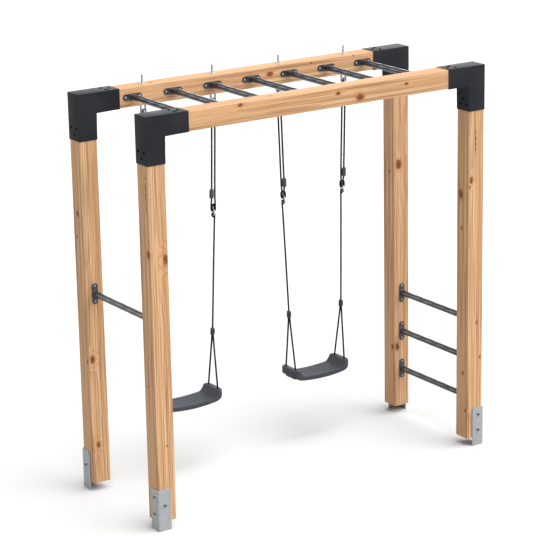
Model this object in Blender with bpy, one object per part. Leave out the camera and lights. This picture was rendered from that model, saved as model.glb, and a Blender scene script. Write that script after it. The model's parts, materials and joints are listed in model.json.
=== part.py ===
"""Wooden monkey bars with two rope swings, built piece by piece.

Metres, +Z up.  X runs along the beams, Y from the front frame (negative) to the rear frame.
The origin is on the ground under the middle of the overall box, seats included.
"""
import math

import bmesh
import bpy
from mathutils import Matrix, Vector

# ---------------------------------------------------------------- frame
GAP = 0.0003                # assembly clearance between pieces that touch
TIMBER = 0.103              # square section of every post and beam
TIMBER_CHAMFER = 0.002      # planed long edges
POST_X = 1.018              # post centre lines
POST_Y = 0.3403
FRAME_TOP = 2.1949          # top of the corner sleeves
POST_FOOT = 0.0488          # the posts stop short of the ground

SLEEVE = 0.1086             # outer width of the steel corner sleeves
SLEEVE_WALL = 0.0025
SLEEVE_REACH = 0.2500       # outer length of each arm of a sleeve
SCREW_NEAR = 0.033          # screw rows, measured from the open end of a sleeve arm
SCREW_FAR = 0.066
SCREW_SIDE = 0.027

FOOT_WIDTH = 0.075          # galvanised angle feet
FOOT_THICK = 0.005
FOOT_HEIGHT = 0.2263
FOOT_PAIR_Z = (0.0931, 0.186)
FOOT_SINGLE_Z = 0.140
FOOT_HOLE_SIDE = 0.037

# ---------------------------------------------------------------- rungs
RUNG_RADIUS = 0.017
RUNG_BORE = 0.0145
RUNG_PITCH = 0.2484
RUNG_COUNT = 7
RUNG_Z = 2.143
PLATE_LENGTH = 0.115
PLATE_WIDTH = 0.035
PLATE_THICK = 0.004
PLATE_SCREW = 0.043
TUMBLE_BAR_Z = 1.116
LADDER_Z = (0.2786, 0.511, 0.744)
LADDER_NAMES = ("low", "middle", "high")

# ---------------------------------------------------------------- swings
SWING_X = 0.4336            # middle of each swing, left and right of the centre
HOOK_HALF = 0.2188          # half the distance between the two hangers of a swing
PIN_Z = 2.042               # swing axis
BAR_DROP = 0.067            # from the pin down to the bar that carries the rope
ROPE_RADIUS = 0.004
STRAND = 0.010              # strand offset from the middle of a rope loop
LINK_BAR = 0.00475
LINK_BEND = 0.0129
BUSH_RADIUS = 0.008
PIN_RADIUS = 0.004
RING_BAR = 0.003
RING_RADIUS = 0.0155
RING_DROP = 0.5525          # from the hanger bar down to the ring centre
TURN_Y = 0.005              # the rope lies twice around the ring, side by side
ADJUSTER = (0.027, 0.017, 0.053)
ADJUSTER_OUT = 0.001
ADJUSTER_Z = {"left": 1.527, "right": 1.5155}
KNOT_Z = 0.742
KNOT_HALF = 0.0225
KNOT_RADIUS = 0.0132
PAIR = 0.00425              # half the distance between the two legs below the knot
EYE_BEND = 0.0078            # bend of the small eye that holds the lower rope on its ring

SEAT_HALF_X = 0.194
SEAT_HALF_Y = 0.079
SEAT_CORNER = 0.035
SEAT_EDGE = 0.007
SEAT_TOP = 0.3745
SEAT_BOTTOM = 0.3467
LUG_TOP = 0.4223
HOLE_X = 0.1705
HOLE_Y = 0.048
HOLE_RADIUS = 0.006
CHANNEL_TOP = 0.372

# The seats stand out behind the rear posts, so the middle of the overall box is off the
# middle of the frame by this much.
BOX_SHIFT_Y = -0.00835

SIDES = (("left", -1), ("right", 1))


def clear_scene():
    for item in list(bpy.data.objects):
        bpy.data.objects.remove(item, do_unlink=True)


def material(name, colour, metallic, roughness):
    made = bpy.data.materials.new(name)
    made.use_nodes = True
    shader = made.node_tree.nodes["Principled BSDF"]
    shader.inputs["Base Color"].default_value = (*colour, 1.0)
    shader.inputs["Metallic"].default_value = metallic
    shader.inputs["Roughness"].default_value = roughness
    made.diffuse_color = (*colour, 1.0)
    return made


def finish(name, mesh_source, mat, pivot=None, smooth=False):
    """Turn a bmesh or a mesh into a named object, with its origin at the pivot."""
    if isinstance(mesh_source, bmesh.types.BMesh):
        mesh = bpy.data.meshes.new(name)
        bmesh.ops.recalc_face_normals(mesh_source, faces=mesh_source.faces)
        mesh_source.to_mesh(mesh)
        mesh_source.free()
    else:
        mesh = mesh_source
    if pivot is not None:
        mesh.transform(Matrix.Translation(-Vector(pivot)))
    if not mesh.materials:
        mesh.materials.append(mat)
    for face in mesh.polygons:
        face.use_smooth = smooth
    made = bpy.data.objects.new(name, mesh)
    bpy.context.collection.objects.link(made)
    if pivot is not None:
        made.location = pivot
    return made


def add_box(bm, low, high):
    low = Vector(low)
    high = Vector(high)
    grid = Matrix.Translation((low + high) / 2) @ Matrix.Diagonal((*(high - low), 1.0))
    return bmesh.ops.create_cube(bm, size=1.0, matrix=grid)["verts"]


def add_prism(bm, outline, near, far, frame):
    """Extrude an outline given in the local XY plane from near to far along local Z."""
    rows = []
    for height in (near, far):
        rows.append([bm.verts.new(frame @ Vector((x, y, height))) for x, y in outline])
    count = len(outline)
    bm.faces.new(list(reversed(rows[0])))
    bm.faces.new(rows[1])
    for i in range(count):
        j = (i + 1) % count
        bm.faces.new((rows[0][i], rows[0][j], rows[1][j], rows[1][i]))


def add_lathe(bm, profile, sides, frame, hollow=False, turn=0.0):
    """Revolve (radius, height) pairs about local Z.  A hollow profile is a closed loop."""
    rings = []
    for radius, height in profile:
        ring = []
        for i in range(sides):
            angle = turn + 2 * math.pi * i / sides
            spot = Vector((radius * math.cos(angle), radius * math.sin(angle), height))
            ring.append(bm.verts.new(frame @ spot))
        rings.append(ring)
    pairs = list(zip(rings, rings[1:]))
    if hollow:
        pairs.append((rings[-1], rings[0]))
    for lower, upper in pairs:
        for i in range(sides):
            j = (i + 1) % sides
            bm.faces.new((lower[i], lower[j], upper[j], upper[i]))
    if not hollow:
        bm.faces.new(list(reversed(rings[0])))
        bm.faces.new(rings[-1])


def stadium(length, width, steps):
    """Outline of a plate with round ends, long along local X."""
    radius = width / 2
    reach = length / 2 - radius
    points = []
    for side, start in ((1, -90), (-1, 90)):
        for i in range(steps + 1):
            angle = math.radians(start + 180 * i / steps)
            points.append((side * reach + radius * math.cos(angle), radius * math.sin(angle)))
    return points


def facing(direction, at):
    """Frame whose local Z points along direction."""
    turn = Vector((0, 0, 1)).rotation_difference(Vector(direction)).to_matrix().to_4x4()
    return Matrix.Translation(Vector(at)) @ turn


def settle(item):
    """Replace an object's mesh by its result with all modifiers."""
    bpy.context.view_layer.update()
    graph = bpy.context.evaluated_depsgraph_get()
    made = bpy.data.meshes.new_from_object(item.evaluated_get(graph))
    item.modifiers.clear()
    item.data = made
    return made


def combine(base, tool, operation):
    """Exact boolean of two bmeshes, returned as a mesh."""
    pair = []
    for source in (base, tool):
        mesh = bpy.data.meshes.new("work")
        if isinstance(source, bmesh.types.BMesh):
            bmesh.ops.recalc_face_normals(source, faces=source.faces)
            source.to_mesh(mesh)
            source.free()
        else:
            mesh = source
        item = bpy.data.objects.new("work", mesh)
        bpy.context.collection.objects.link(item)
        pair.append(item)
    body, cutter = pair
    cutter.hide_render = True
    cutter.display_type = 'WIRE'
    step = body.modifiers.new("cut", 'BOOLEAN')
    step.operation = operation
    step.solver = 'EXACT'
    step.object = cutter
    made = settle(body)
    bpy.data.objects.remove(body, do_unlink=True)
    bpy.data.objects.remove(cutter, do_unlink=True)
    return made


def sweep(path, radius, cyclic=False):
    """Round bar or rope along a path of points, returned as a mesh."""
    curve = bpy.data.curves.new("sweep", 'CURVE')
    curve.dimensions = '3D'
    curve.bevel_depth = radius
    curve.bevel_resolution = 2
    curve.use_fill_caps = not cyclic
    line = curve.splines.new('POLY')
    line.points.add(len(path) - 1)
    for point, spot in zip(line.points, path):
        point.co = (*spot, 1.0)
    line.use_cyclic_u = cyclic
    item = bpy.data.objects.new("sweep", curve)
    bpy.context.collection.objects.link(item)
    mesh = settle_curve(item)
    bpy.data.objects.remove(item, do_unlink=True)
    return mesh


def settle_curve(item):
    bpy.context.view_layer.update()
    graph = bpy.context.evaluated_depsgraph_get()
    mesh = bpy.data.meshes.new_from_object(item.evaluated_get(graph))
    bm = bmesh.new()
    bm.from_mesh(mesh)
    bmesh.ops.remove_doubles(bm, verts=bm.verts, dist=0.000001)
    bmesh.ops.recalc_face_normals(bm, faces=bm.faces)
    bm.to_mesh(mesh)
    bm.free()
    return mesh


def arc(centre, radius, start, stop, steps):
    """Points of an arc in the XZ plane, angles in degrees from +X towards +Z."""
    points = []
    for i in range(steps + 1):
        angle = math.radians(start + (stop - start) * i / steps)
        spot = Vector((radius * math.cos(angle), 0.0, radius * math.sin(angle)))
        points.append(Vector(centre) + spot)
    return points


# ---------------------------------------------------------------- timber
def chamfered_timber(low, high, axis):
    bm = bmesh.new()
    add_box(bm, low, high)
    along = [edge for edge in bm.edges
             if abs((edge.verts[0].co - edge.verts[1].co)[axis]) > TIMBER * 1.5]
    bmesh.ops.bevel(bm, geom=along, offset=TIMBER_CHAMFER, segments=1, affect='EDGES')
    return bm


def drill_pilots(timber, spots, low, high):
    """Cut the pilot holes of all screws whose head sits near this piece of timber."""
    drill = bmesh.new()
    for radius, depth, spot in spots:
        tip = spot @ Vector((0, 0, -0.02))
        if all(a < value < b for a, value, b in zip(low, tip, high)):
            add_lathe(drill, ((radius + 0.0004, -depth - 0.001), (radius + 0.0004, 0.002)), 6, spot)
    return combine(timber, drill, 'DIFFERENCE')


def build_timber(wood):
    half = TIMBER / 2
    top = FRAME_TOP - SLEEVE_WALL - GAP
    spots = screw_spots()
    for row, sy in (("front", -1), ("rear", 1)):
        y = sy * POST_Y
        for side, sx in SIDES:
            x = sx * POST_X
            low = (x - half, y - half, POST_FOOT)
            high = (x + half, y + half, top)
            post = drill_pilots(chamfered_timber(low, high, 2), spots, low, high)
            finish("post_%s_%s" % (row, side), post, wood, (x, y, POST_FOOT))
        reach = POST_X - half - GAP
        z = FRAME_TOP - SLEEVE / 2
        low = (-reach, y - half, z - half)
        high = (reach, y + half, z + half)
        beam = drill_pilots(chamfered_timber(low, high, 0), spots, low, high)
        if row == "rear":
            drill = bmesh.new()
            for x in hook_positions():
                profile = ((0.0055, z - 0.06), (0.0055, z + 0.06))
                add_lathe(drill, profile, 12, Matrix.Translation((x, y, 0)))
            beam = combine(beam, drill, 'DIFFERENCE')
        finish("beam_" + row, beam, wood, (0, y, z))


def add_screw(bm, spot, radius, depth, head_radius, head_top, taper):
    """A screw standing in its frame: the head is bedded into the plate that it holds."""
    profile = ((radius, -depth), (radius, -0.0005), (head_radius, -0.0005),
               (head_radius * taper, head_top))
    add_lathe(bm, profile, 6, spot)


def screw_spots():
    """Radius, depth and frame of every screw that enters timber."""
    spots = []
    for sy in (-1, 1):
        for sx in (-1, 1):
            spots += [(0.003, 0.047, facing(out, seat)) for seat, out in sleeve_screws(sx, sy)]
    for corner in FOOT_CORNERS:
        spots += [(0.004, 0.055, spot) for spot in foot_screws(foot_frame(*corner[2:]))]
    for name, spot, upright in rung_places():
        place = Matrix.Translation(spot)
        if upright:
            place = place @ Matrix.Rotation(math.pi / 2, 4, 'Y')
        spots += [(0.003, 0.042, place @ local) for local in rung_screws()]
    return spots


def hook_positions():
    return [centre * SWING_X + side * HOOK_HALF for centre in (-1, 1) for side in (-1, 1)]


# ---------------------------------------------------------------- corner sleeves
def sleeve_screws(sx, sy):
    """Seat and outward direction of the twelve screws of one corner sleeve."""
    y = sy * POST_Y
    outer = sx * (POST_X + SLEEVE / 2)
    inner = sx * (POST_X - SLEEVE / 2)
    arm_end = sx * (POST_X + SLEEVE / 2 - SLEEVE_REACH)
    leg_end = FRAME_TOP - SLEEVE_REACH
    spots = []
    for side in (-SCREW_SIDE, 0.0, SCREW_SIDE):
        first = SCREW_NEAR if side == 0.0 else SCREW_FAR
        second = SCREW_FAR if side == 0.0 else SCREW_NEAR
        spots.append(((arm_end + sx * first, y + side, FRAME_TOP), (0, 0, 1)))
        spots.append(((arm_end + sx * second, y + side, FRAME_TOP - SLEEVE), (0, 0, -1)))
        spots.append(((outer, y + side, leg_end + first), (sx, 0, 0)))
        spots.append(((inner, y + side, leg_end + second), (-sx, 0, 0)))
    return spots


def build_sleeves(steel):
    for row, sy in (("front", -1), ("rear", 1)):
        for side, sx in SIDES:
            y = sy * POST_Y
            shells = []
            for inset, over in ((0.0, 0.0), (SLEEVE_WALL, 0.02)):
                outer = POST_X + SLEEVE / 2 - inset
                inner = POST_X - SLEEVE / 2 + inset
                arm = POST_X + SLEEVE / 2 - SLEEVE_REACH - over
                top = FRAME_TOP - inset
                under = FRAME_TOP - SLEEVE + inset
                leg = FRAME_TOP - SLEEVE_REACH - over
                outline = [(outer, top), (arm, top), (arm, under), (inner, under),
                           (inner, leg), (outer, leg)]
                bm = bmesh.new()
                upright = Matrix(((sx, 0, 0, 0), (0, 0, 1, y), (0, 1, 0, 0), (0, 0, 0, 1)))
                half = SLEEVE / 2 - inset
                add_prism(bm, outline, -half, half, upright)
                shells.append(bm)
            sleeve = combine(shells[0], shells[1], 'DIFFERENCE')
            screws = bmesh.new()
            for seat, out in sleeve_screws(sx, sy):
                add_screw(screws, facing(out, seat), 0.003, 0.047, 0.006, 0.0035, 0.87)
            sleeve = combine(sleeve, screws, 'UNION')
            finish("corner_sleeve_%s_%s" % (row, side), sleeve, steel,
                   (sx * POST_X, y, FRAME_TOP - SLEEVE / 2))


# ---------------------------------------------------------------- angle feet
FOOT_CORNERS = (("front", "left", -1, -1, 0), ("front", "right", 1, -1, 1),
                ("rear", "right", 1, 1, 2), ("rear", "left", -1, 1, 3))


def foot_frame(sx, sy, quarter):
    """The same angle is turned a quarter turn from corner to corner."""
    half = TIMBER / 2 + GAP + FOOT_THICK
    return (Matrix.Translation((sx * POST_X, sy * POST_Y, 0))
            @ Matrix.Rotation(quarter * math.pi / 2, 4, 'Z')
            @ Matrix.Translation((-half, -half, 0)))


def foot_screws(place):
    seats = [((0, FOOT_HOLE_SIDE, z), (-1, 0, 0)) for z in FOOT_PAIR_Z]
    seats.append(((FOOT_HOLE_SIDE, 0, FOOT_SINGLE_Z), (0, -1, 0)))
    return [place @ facing(out, seat) for seat, out in seats]


def build_feet(zinc):
    wide = FOOT_WIDTH
    pair_flange = [(0, 0), (wide, 0), (wide, FOOT_HEIGHT - 0.010),
                   (wide - 0.006, FOOT_HEIGHT), (0, FOOT_HEIGHT)]
    single_flange = [(0, 0), (wide, 0), (wide, FOOT_HEIGHT - 0.034),
                     (wide - 0.012, FOOT_HEIGHT), (0, FOOT_HEIGHT)]
    along_y = Matrix(((0, 0, 1, 0), (1, 0, 0, 0), (0, 1, 0, 0), (0, 0, 0, 1)))
    along_x = Matrix(((1, 0, 0, 0), (0, 0, 1, 0), (0, 1, 0, 0), (0, 0, 0, 1)))
    for row, side, sx, sy, quarter in FOOT_CORNERS:
        place = foot_frame(sx, sy, quarter)
        first = bmesh.new()
        add_prism(first, pair_flange, 0, FOOT_THICK, place @ along_y)
        second = bmesh.new()
        add_prism(second, single_flange, 0, FOOT_THICK, place @ along_x)
        screws = bmesh.new()
        for spot in foot_screws(place):
            add_screw(screws, spot, 0.004, 0.055, 0.0075, 0.0055, 1.0)
        foot = combine(combine(first, second, 'UNION'), screws, 'UNION')
        finish("angle_foot_%s_%s" % (row, side), foot, zinc, (sx * POST_X, sy * POST_Y, 0))


# ---------------------------------------------------------------- rungs
def rung_screws():
    """Frames of the four screws of a rung, in the rung's own axes."""
    face = POST_Y - TIMBER / 2 - GAP - PLATE_THICK
    return [facing((0, -end, 0), (side * PLATE_SCREW, end * face, 0))
            for end in (-1, 1) for side in (-1, 1)]


def rung_mesh():
    reach = POST_Y - TIMBER / 2 - GAP
    along = Matrix.Rotation(-math.pi / 2, 4, 'X')
    bar = bmesh.new()
    add_lathe(bar, ((RUNG_RADIUS, -reach), (RUNG_RADIUS, reach)), 12, along)
    plates = bmesh.new()
    for end in (-1, 1):
        outer = end * reach
        inner = end * (reach - PLATE_THICK)
        add_prism(plates, stadium(PLATE_LENGTH, PLATE_WIDTH, 4), min(outer, inner),
                  max(outer, inner), along)
    screws = bmesh.new()
    for spot in rung_screws():
        add_screw(screws, spot, 0.003, 0.042, 0.006, 0.0035, 0.87)
    bore = bmesh.new()
    add_lathe(bore, ((RUNG_BORE, -reach - 0.01), (RUNG_BORE, reach + 0.01)), 12, along)
    tube = combine(combine(bar, plates, 'UNION'), bore, 'DIFFERENCE')
    return combine(tube, screws, 'UNION')


def rung_places():
    """Name, position and whether the end plates stand upright."""
    middle = (RUNG_COUNT + 1) / 2
    places = []
    for i in range(1, RUNG_COUNT + 1):
        places.append(("monkey_rung_%d" % i, ((i - middle) * RUNG_PITCH, 0, RUNG_Z), False))
    places.append(("tumble_bar_left", (-POST_X, 0, TUMBLE_BAR_Z), True))
    for label, z in zip(LADDER_NAMES, LADDER_Z):
        places.append(("ladder_rung_" + label, (POST_X, 0, z), True))
    return places


def build_rungs(coated):
    mesh = rung_mesh()
    mesh.materials.append(coated)
    for name, spot, upright in rung_places():
        item = finish(name, mesh, coated)
        item.location = spot
        if upright:
            item.rotation_euler = (0, math.pi / 2, 0)


# ---------------------------------------------------------------- swing hangers
def build_hangers(zinc):
    """Stirrup with its threaded rod and riveted pin, and the flange nut on top of the beam."""
    cheek_out = 0.016
    strap = 0.0045
    half = 0.008
    beam_top = FRAME_TOP - SLEEVE_WALL - GAP - PIN_Z
    top = beam_top - TIMBER - GAP
    for number, x in enumerate(hook_positions(), start=1):
        place = Matrix.Translation((x, POST_Y, PIN_Z))
        upright = place @ Matrix(((1, 0, 0, 0), (0, 0, 1, 0), (0, 1, 0, 0), (0, 0, 0, 1)))
        inner = cheek_out - strap
        outline = [(-cheek_out, -half), (-inner, -half), (-inner, top - strap),
                   (inner, top - strap), (inner, -half), (cheek_out, -half), (cheek_out, top),
                   (-cheek_out, top)]
        stirrup = bmesh.new()
        add_prism(stirrup, outline, -half, half, upright)
        rod = bmesh.new()
        add_lathe(rod, ((0.005, top - 0.002), (0.005, 0.1975), (0.004, 0.199)), 12, place)
        pin = bmesh.new()
        crosswise = place @ Matrix.Rotation(math.pi / 2, 4, 'Y')
        end = cheek_out - 0.0005
        add_lathe(pin, ((0.0065, -end - 0.003), (0.0065, -end), (PIN_RADIUS, -end),
                        (PIN_RADIUS, end), (0.006, end), (0.005, end + 0.0025)), 16, crosswise)
        hanger = combine(combine(stirrup, rod, 'UNION'), pin, 'UNION')
        finish("swing_hanger_%d" % number, hanger, zinc, (x, POST_Y, PIN_Z))
        seat = beam_top + GAP
        nut = bmesh.new()
        add_lathe(nut, ((0.0054, seat), (0.015, seat), (0.015, seat + 0.0025),
                        (0.0098, seat + 0.0026), (0.0098, seat + 0.0105),
                        (0.0054, seat + 0.0105)), 12, place, hollow=True)
        finish("hanger_nut_%d" % number, nut, zinc, (x, POST_Y, PIN_Z))


# ---------------------------------------------------------------- swings
def upper_rope_path(block_side, block_z):
    """Closed loop over the hanger link, twice round the ring, ends meeting in the adjuster.

    Heights are measured from the bar that the rope hangs on.
    """
    s = block_side * STRAND
    ring_arc = -0.536
    turn_top = -0.5175
    path = [Vector((s, 0, block_z - 0.0005)), Vector((s, 0, block_z - 0.030)),
            Vector((s, TURN_Y, -0.503))]
    path += [Vector((block_side * p.x, TURN_Y, p.z))
             for p in arc((0, 0, ring_arc), STRAND, 0, -180, 6)]
    sideways = (TURN_Y, TURN_Y * 0.9, 0.0, -TURN_Y * 0.9, -TURN_Y)
    path += [Vector((block_side * p.x, y, p.z))
             for p, y in zip(arc((0, 0, turn_top), STRAND, 180, 0, 4), sideways)]
    path += [Vector((block_side * p.x, -TURN_Y, p.z))
             for p in arc((0, 0, ring_arc), STRAND, 0, -180, 6)]
    path += [Vector((-s, -TURN_Y, -0.503)), Vector((-s, 0, -0.482)), Vector((-s, 0, -0.25))]
    path += [Vector((block_side * p.x, 0, p.z)) for p in arc((0, 0, 0), STRAND, 180, 0, 8)]
    path += [Vector((s, 0, -0.25)), Vector((s, 0, block_z + 0.0005))]
    return path


def lower_rope_frame(side, centre_x):
    """Frame on the lowest point of the ring, its local Z along the rope."""
    ring = ring_centre(side, centre_x)
    return (Matrix.Translation(ring - Vector((0, 0, RING_RADIUS)))
            @ Matrix.Rotation(side * rope_tilt(), 4, 'Y'))


def knot_drop(side, centre_x):
    return ring_centre(side, centre_x).z - RING_RADIUS - KNOT_Z


def standing_path(hand, drop):
    """Single rope from the knot up to the ring and over its bar, on one side of it."""
    path = [Vector((0, 0, -drop + 0.010)), Vector((0, 0, -drop + 0.040)),
            Vector((hand * 0.0062, 0, -0.060)), Vector((hand * EYE_BEND, 0, -0.014))]
    return path + [Vector((hand * p.x, 0, p.z)) for p in arc((0, 0, 0), EYE_BEND, 0, 150, 6)]


def tail_path(hand):
    """End of the rope: it closes the eye under the bar and is sewn to the standing rope."""
    path = [Vector((hand * p.x, 0, p.z)) for p in arc((0, 0, 0), EYE_BEND, 120, 262, 6)]
    return path + [Vector((hand * 0.0058, 0, -0.0135))]


def seat_loop_path(side, centre_x):
    """Below the knot: down through the seat, under its lug and back up to the knot."""
    top = lower_rope_frame(side, centre_x)
    drop = knot_drop(side, centre_x)
    hole_x = centre_x + side * HOLE_X
    seat_run = []
    floor = CHANNEL_TOP - 0.0055
    for y, z in ((-HOLE_Y + 0.001, LUG_TOP + 0.004), (-HOLE_Y, LUG_TOP - 0.006),
                 (-HOLE_Y, floor + 0.0045), (-HOLE_Y + 0.0025, floor + 0.001),
                 (-HOLE_Y + 0.007, floor)):
        seat_run.append(Vector((hole_x, POST_Y + y, z)))
    back = [Vector((p.x, 2 * POST_Y - p.y, p.z)) for p in reversed(seat_run)]
    ends = [[top @ Vector((0, sy * PAIR, -drop - low)) for low in (0.0, KNOT_HALF)]
            for sy in (-1, 1)]
    return ends[0] + seat_run + back + list(reversed(ends[1]))


def rope_tilt():
    """The ropes lean inwards from the hangers to the narrower seat."""
    fall = PIN_Z - BAR_DROP - LUG_TOP
    return math.atan2(HOOK_HALF - HOLE_X, fall)


def ring_centre(side, centre_x):
    tilt = rope_tilt()
    bar = Vector((centre_x + side * HOOK_HALF, POST_Y, PIN_Z - BAR_DROP))
    return bar + Vector((-side * math.sin(tilt), 0, -math.cos(tilt))) * RING_DROP


def seat_height(x, y):
    """Top and bottom of the moulded seat before its edges are rounded."""
    across = abs(x)
    low = SEAT_BOTTOM + 0.52 * x * x
    base = SEAT_TOP + 0.008 * (min(across, 0.14) / 0.14) ** 2
    rise = min(max((across - 0.118) / 0.038, 0.0), 1.0) ** 2.2
    high = base + rise * (LUG_TOP - base)
    qx = across - (SEAT_HALF_X - SEAT_CORNER)
    qy = abs(y) - (SEAT_HALF_Y - SEAT_CORNER)
    inside = SEAT_CORNER - math.hypot(max(qx, 0), max(qy, 0)) - min(max(qx, qy), 0)
    drop = 0.0
    if inside < SEAT_EDGE:
        reach = SEAT_EDGE - max(inside, 0.0)
        drop = SEAT_EDGE - math.sqrt(max(SEAT_EDGE ** 2 - reach ** 2, 0.0))
    return high - drop, low + drop


def seat_mesh():
    stations = (0.0, 0.30, 0.55, 0.61, 0.68, 0.73, 0.77, 0.805, 0.85, 0.90, 0.95, 0.98, 1.0)
    lanes = (0.0, 0.55, 0.90, 0.965, 1.0)
    xs = [-s * SEAT_HALF_X for s in reversed(stations[1:])] + [s * SEAT_HALF_X for s in stations]
    vs = [-v for v in reversed(lanes[1:])] + list(lanes)
    bm = bmesh.new()
    top = []
    bottom = []
    for x in xs:
        over = max(abs(x) - (SEAT_HALF_X - SEAT_CORNER), 0.0)
        width = SEAT_HALF_Y - SEAT_CORNER + math.sqrt(max(SEAT_CORNER ** 2 - over ** 2, 0.0))
        upper = []
        lower = []
        for v in vs:
            y = width * v
            high, low = seat_height(x, y)
            upper.append(bm.verts.new((x, y, high)))
            lower.append(bm.verts.new((x, y, low)))
        top.append(upper)
        bottom.append(lower)
    rows = len(xs)
    cols = len(vs)
    for i in range(rows - 1):
        for j in range(cols - 1):
            bm.faces.new((top[i][j], top[i + 1][j], top[i + 1][j + 1], top[i][j + 1]))
            bm.faces.new((bottom[i][j], bottom[i][j + 1], bottom[i + 1][j + 1], bottom[i + 1][j]))
    for i in range(rows - 1):
        for j in (0, cols - 1):
            bm.faces.new((top[i][j], bottom[i][j], bottom[i + 1][j], top[i + 1][j]))
    for j in range(cols - 1):
        for i in (0, rows - 1):
            bm.faces.new((top[i][j], top[i][j + 1], bottom[i][j + 1], bottom[i][j]))
    holes = bmesh.new()
    for sx in (-1, 1):
        for sy in (-1, 1):
            add_lathe(holes, ((HOLE_RADIUS, 0.33), (HOLE_RADIUS, 0.45)), 12,
                      Matrix.Translation((sx * HOLE_X, sy * HOLE_Y, 0)))
    slots = bmesh.new()
    for sx in (-1, 1):
        add_box(slots, (sx * HOLE_X - 0.0055, -HOLE_Y, 0.33),
                (sx * HOLE_X + 0.0055, HOLE_Y, CHANNEL_TOP))
    return combine(combine(bm, holes, 'DIFFERENCE'), slots, 'DIFFERENCE')


def build_swing(label, sign, mats, seat):
    centre = sign * SWING_X
    tilt = rope_tilt()
    ring_z = ring_centre(1, centre).z
    upper_pivot = (centre, POST_Y, PIN_Z)
    lower_pivot = (centre, POST_Y, ring_z)
    block_side = sign
    block_z = ADJUSTER_Z[label] - (PIN_Z - BAR_DROP)
    for side_name, side in SIDES:
        hook = Vector((centre + side * HOOK_HALF, POST_Y, PIN_Z))
        crosswise = Matrix.Translation(hook) @ Matrix.Rotation(math.pi / 2, 4, 'Y')
        bore = PIN_RADIUS + 0.00009
        bush = bmesh.new()
        add_lathe(bush, ((bore, -0.011), (BUSH_RADIUS, -0.011), (BUSH_RADIUS, 0.011),
                         (bore, 0.011)), 16, crosswise, hollow=True)
        finish("swing_%s_bush_%s" % (label, side_name), bush, mats["nylon"], hook)
        link = []
        for low, start in ((0.0, 0), (-(BAR_DROP - LINK_BEND), 180)):
            for i in range(9):
                angle = math.radians(start + 180 * i / 8)
                link.append(hook + Vector((0, LINK_BEND * math.cos(angle),
                                           low + LINK_BEND * math.sin(angle))))
        name = "swing_%s_hanger_link_%s" % (label, side_name)
        finish(name, sweep(link, LINK_BAR, cyclic=True), mats["zinc"], hook, smooth=True)

        hang = (Matrix.Translation(hook - Vector((0, 0, BAR_DROP)))
                @ Matrix.Rotation(side * tilt, 4, 'Y'))
        loop = [hang @ p for p in upper_rope_path(block_side, block_z)]
        name = "swing_%s_upper_rope_%s" % (label, side_name)
        finish(name, sweep(loop, ROPE_RADIUS), mats["rope"], upper_pivot, smooth=True)

        wide, deep, tall = ADJUSTER
        middle = block_side * (STRAND + ADJUSTER_OUT)
        oval = (Matrix.Translation((middle, 0, block_z))
                @ Matrix.Diagonal((1.0, deep / wide, 1.0, 1.0)))
        half = tall / 2
        block = bmesh.new()
        add_lathe(block, ((wide * 0.32, -half), (wide * 0.44, -half + 0.003),
                          (wide * 0.5, -half + 0.009), (wide * 0.5, half - 0.009),
                          (wide * 0.44, half - 0.003), (wide * 0.32, half)), 16, oval)
        drill = bmesh.new()
        add_lathe(drill, ((0.0046, block_z - 0.05), (0.0046, block_z + 0.05)), 12,
                  Matrix.Translation((block_side * STRAND, 0, 0)))
        mesh = combine(block, drill, 'DIFFERENCE')
        mesh.transform(hang)
        finish("swing_%s_rope_adjuster_%s" % (label, side_name), mesh, mats["plastic"], upper_pivot)

        ring = ring_centre(side, centre)
        turns = []
        for i in range(16):
            angle = 2 * math.pi * i / 16
            turns.append(ring + RING_RADIUS * Vector((0, math.cos(angle), math.sin(angle))))
        finish("swing_%s_link_ring_%s" % (label, side_name),
               sweep(turns, RING_BAR, cyclic=True), mats["zinc"], ring, smooth=True)

        top = lower_rope_frame(side, centre)
        drop = knot_drop(side, centre)
        hand = -sign
        rope = sweep(seat_loop_path(side, centre), ROPE_RADIUS)
        knot = bmesh.new()
        shape = ((0.0095, -KNOT_HALF), (0.0124, -KNOT_HALF + 0.0045), (KNOT_RADIUS, -0.010),
                 (KNOT_RADIUS, 0.010), (0.0124, KNOT_HALF - 0.0045), (0.0095, KNOT_HALF))
        add_lathe(knot, shape, 12, top @ Matrix.Translation((0, 0, -drop)))
        rope = combine(rope, knot, 'UNION')
        standing = sweep([top @ p for p in standing_path(hand, drop)], ROPE_RADIUS)
        rope = combine(rope, standing, 'UNION')
        tail = sweep([top @ p for p in tail_path(hand)], ROPE_RADIUS - 0.0003)
        rope = combine(rope, tail, 'UNION')
        name = "swing_%s_lower_rope_%s" % (label, side_name)
        finish(name, rope, mats["rope"], lower_pivot, smooth=True)
    item = finish("swing_%s_seat" % label, seat, mats["plastic"], smooth=True)
    item.location = lower_pivot


def build():
    clear_scene()
    wood = material("planed_fir", (0.66, 0.43, 0.24), 0.0, 0.6)
    steel = material("black_powder_coat", (0.030, 0.030, 0.033), 0.2, 0.5)
    coated = material("anthracite_coat", (0.060, 0.064, 0.075), 0.3, 0.4)
    zinc = material("galvanised_steel", (0.42, 0.43, 0.44), 0.9, 0.45)
    rope = material("braided_rope", (0.016, 0.016, 0.017), 0.0, 0.85)
    plastic = material("grey_plastic", (0.075, 0.077, 0.085), 0.0, 0.5)
    nylon = material("black_nylon", (0.02, 0.02, 0.02), 0.0, 0.45)
    build_timber(wood)
    build_sleeves(steel)
    build_feet(zinc)
    build_rungs(coated)
    build_hangers(zinc)
    mats = {"zinc": zinc, "rope": rope, "plastic": plastic, "nylon": nylon}
    ring_z = ring_centre(1, SWING_X).z
    seat = seat_mesh()
    seat.transform(Matrix.Translation((0, 0, -ring_z)))
    seat.materials.append(plastic)
    for label, sign in SIDES:
        build_swing(label, sign, mats, seat)
    for item in bpy.data.objects:
        item.location.y += BOX_SHIFT_Y


build()
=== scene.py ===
"""Wooden monkey bars with two rope swings: detailed pieces, materials, light and camera."""
import json
import math

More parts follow.
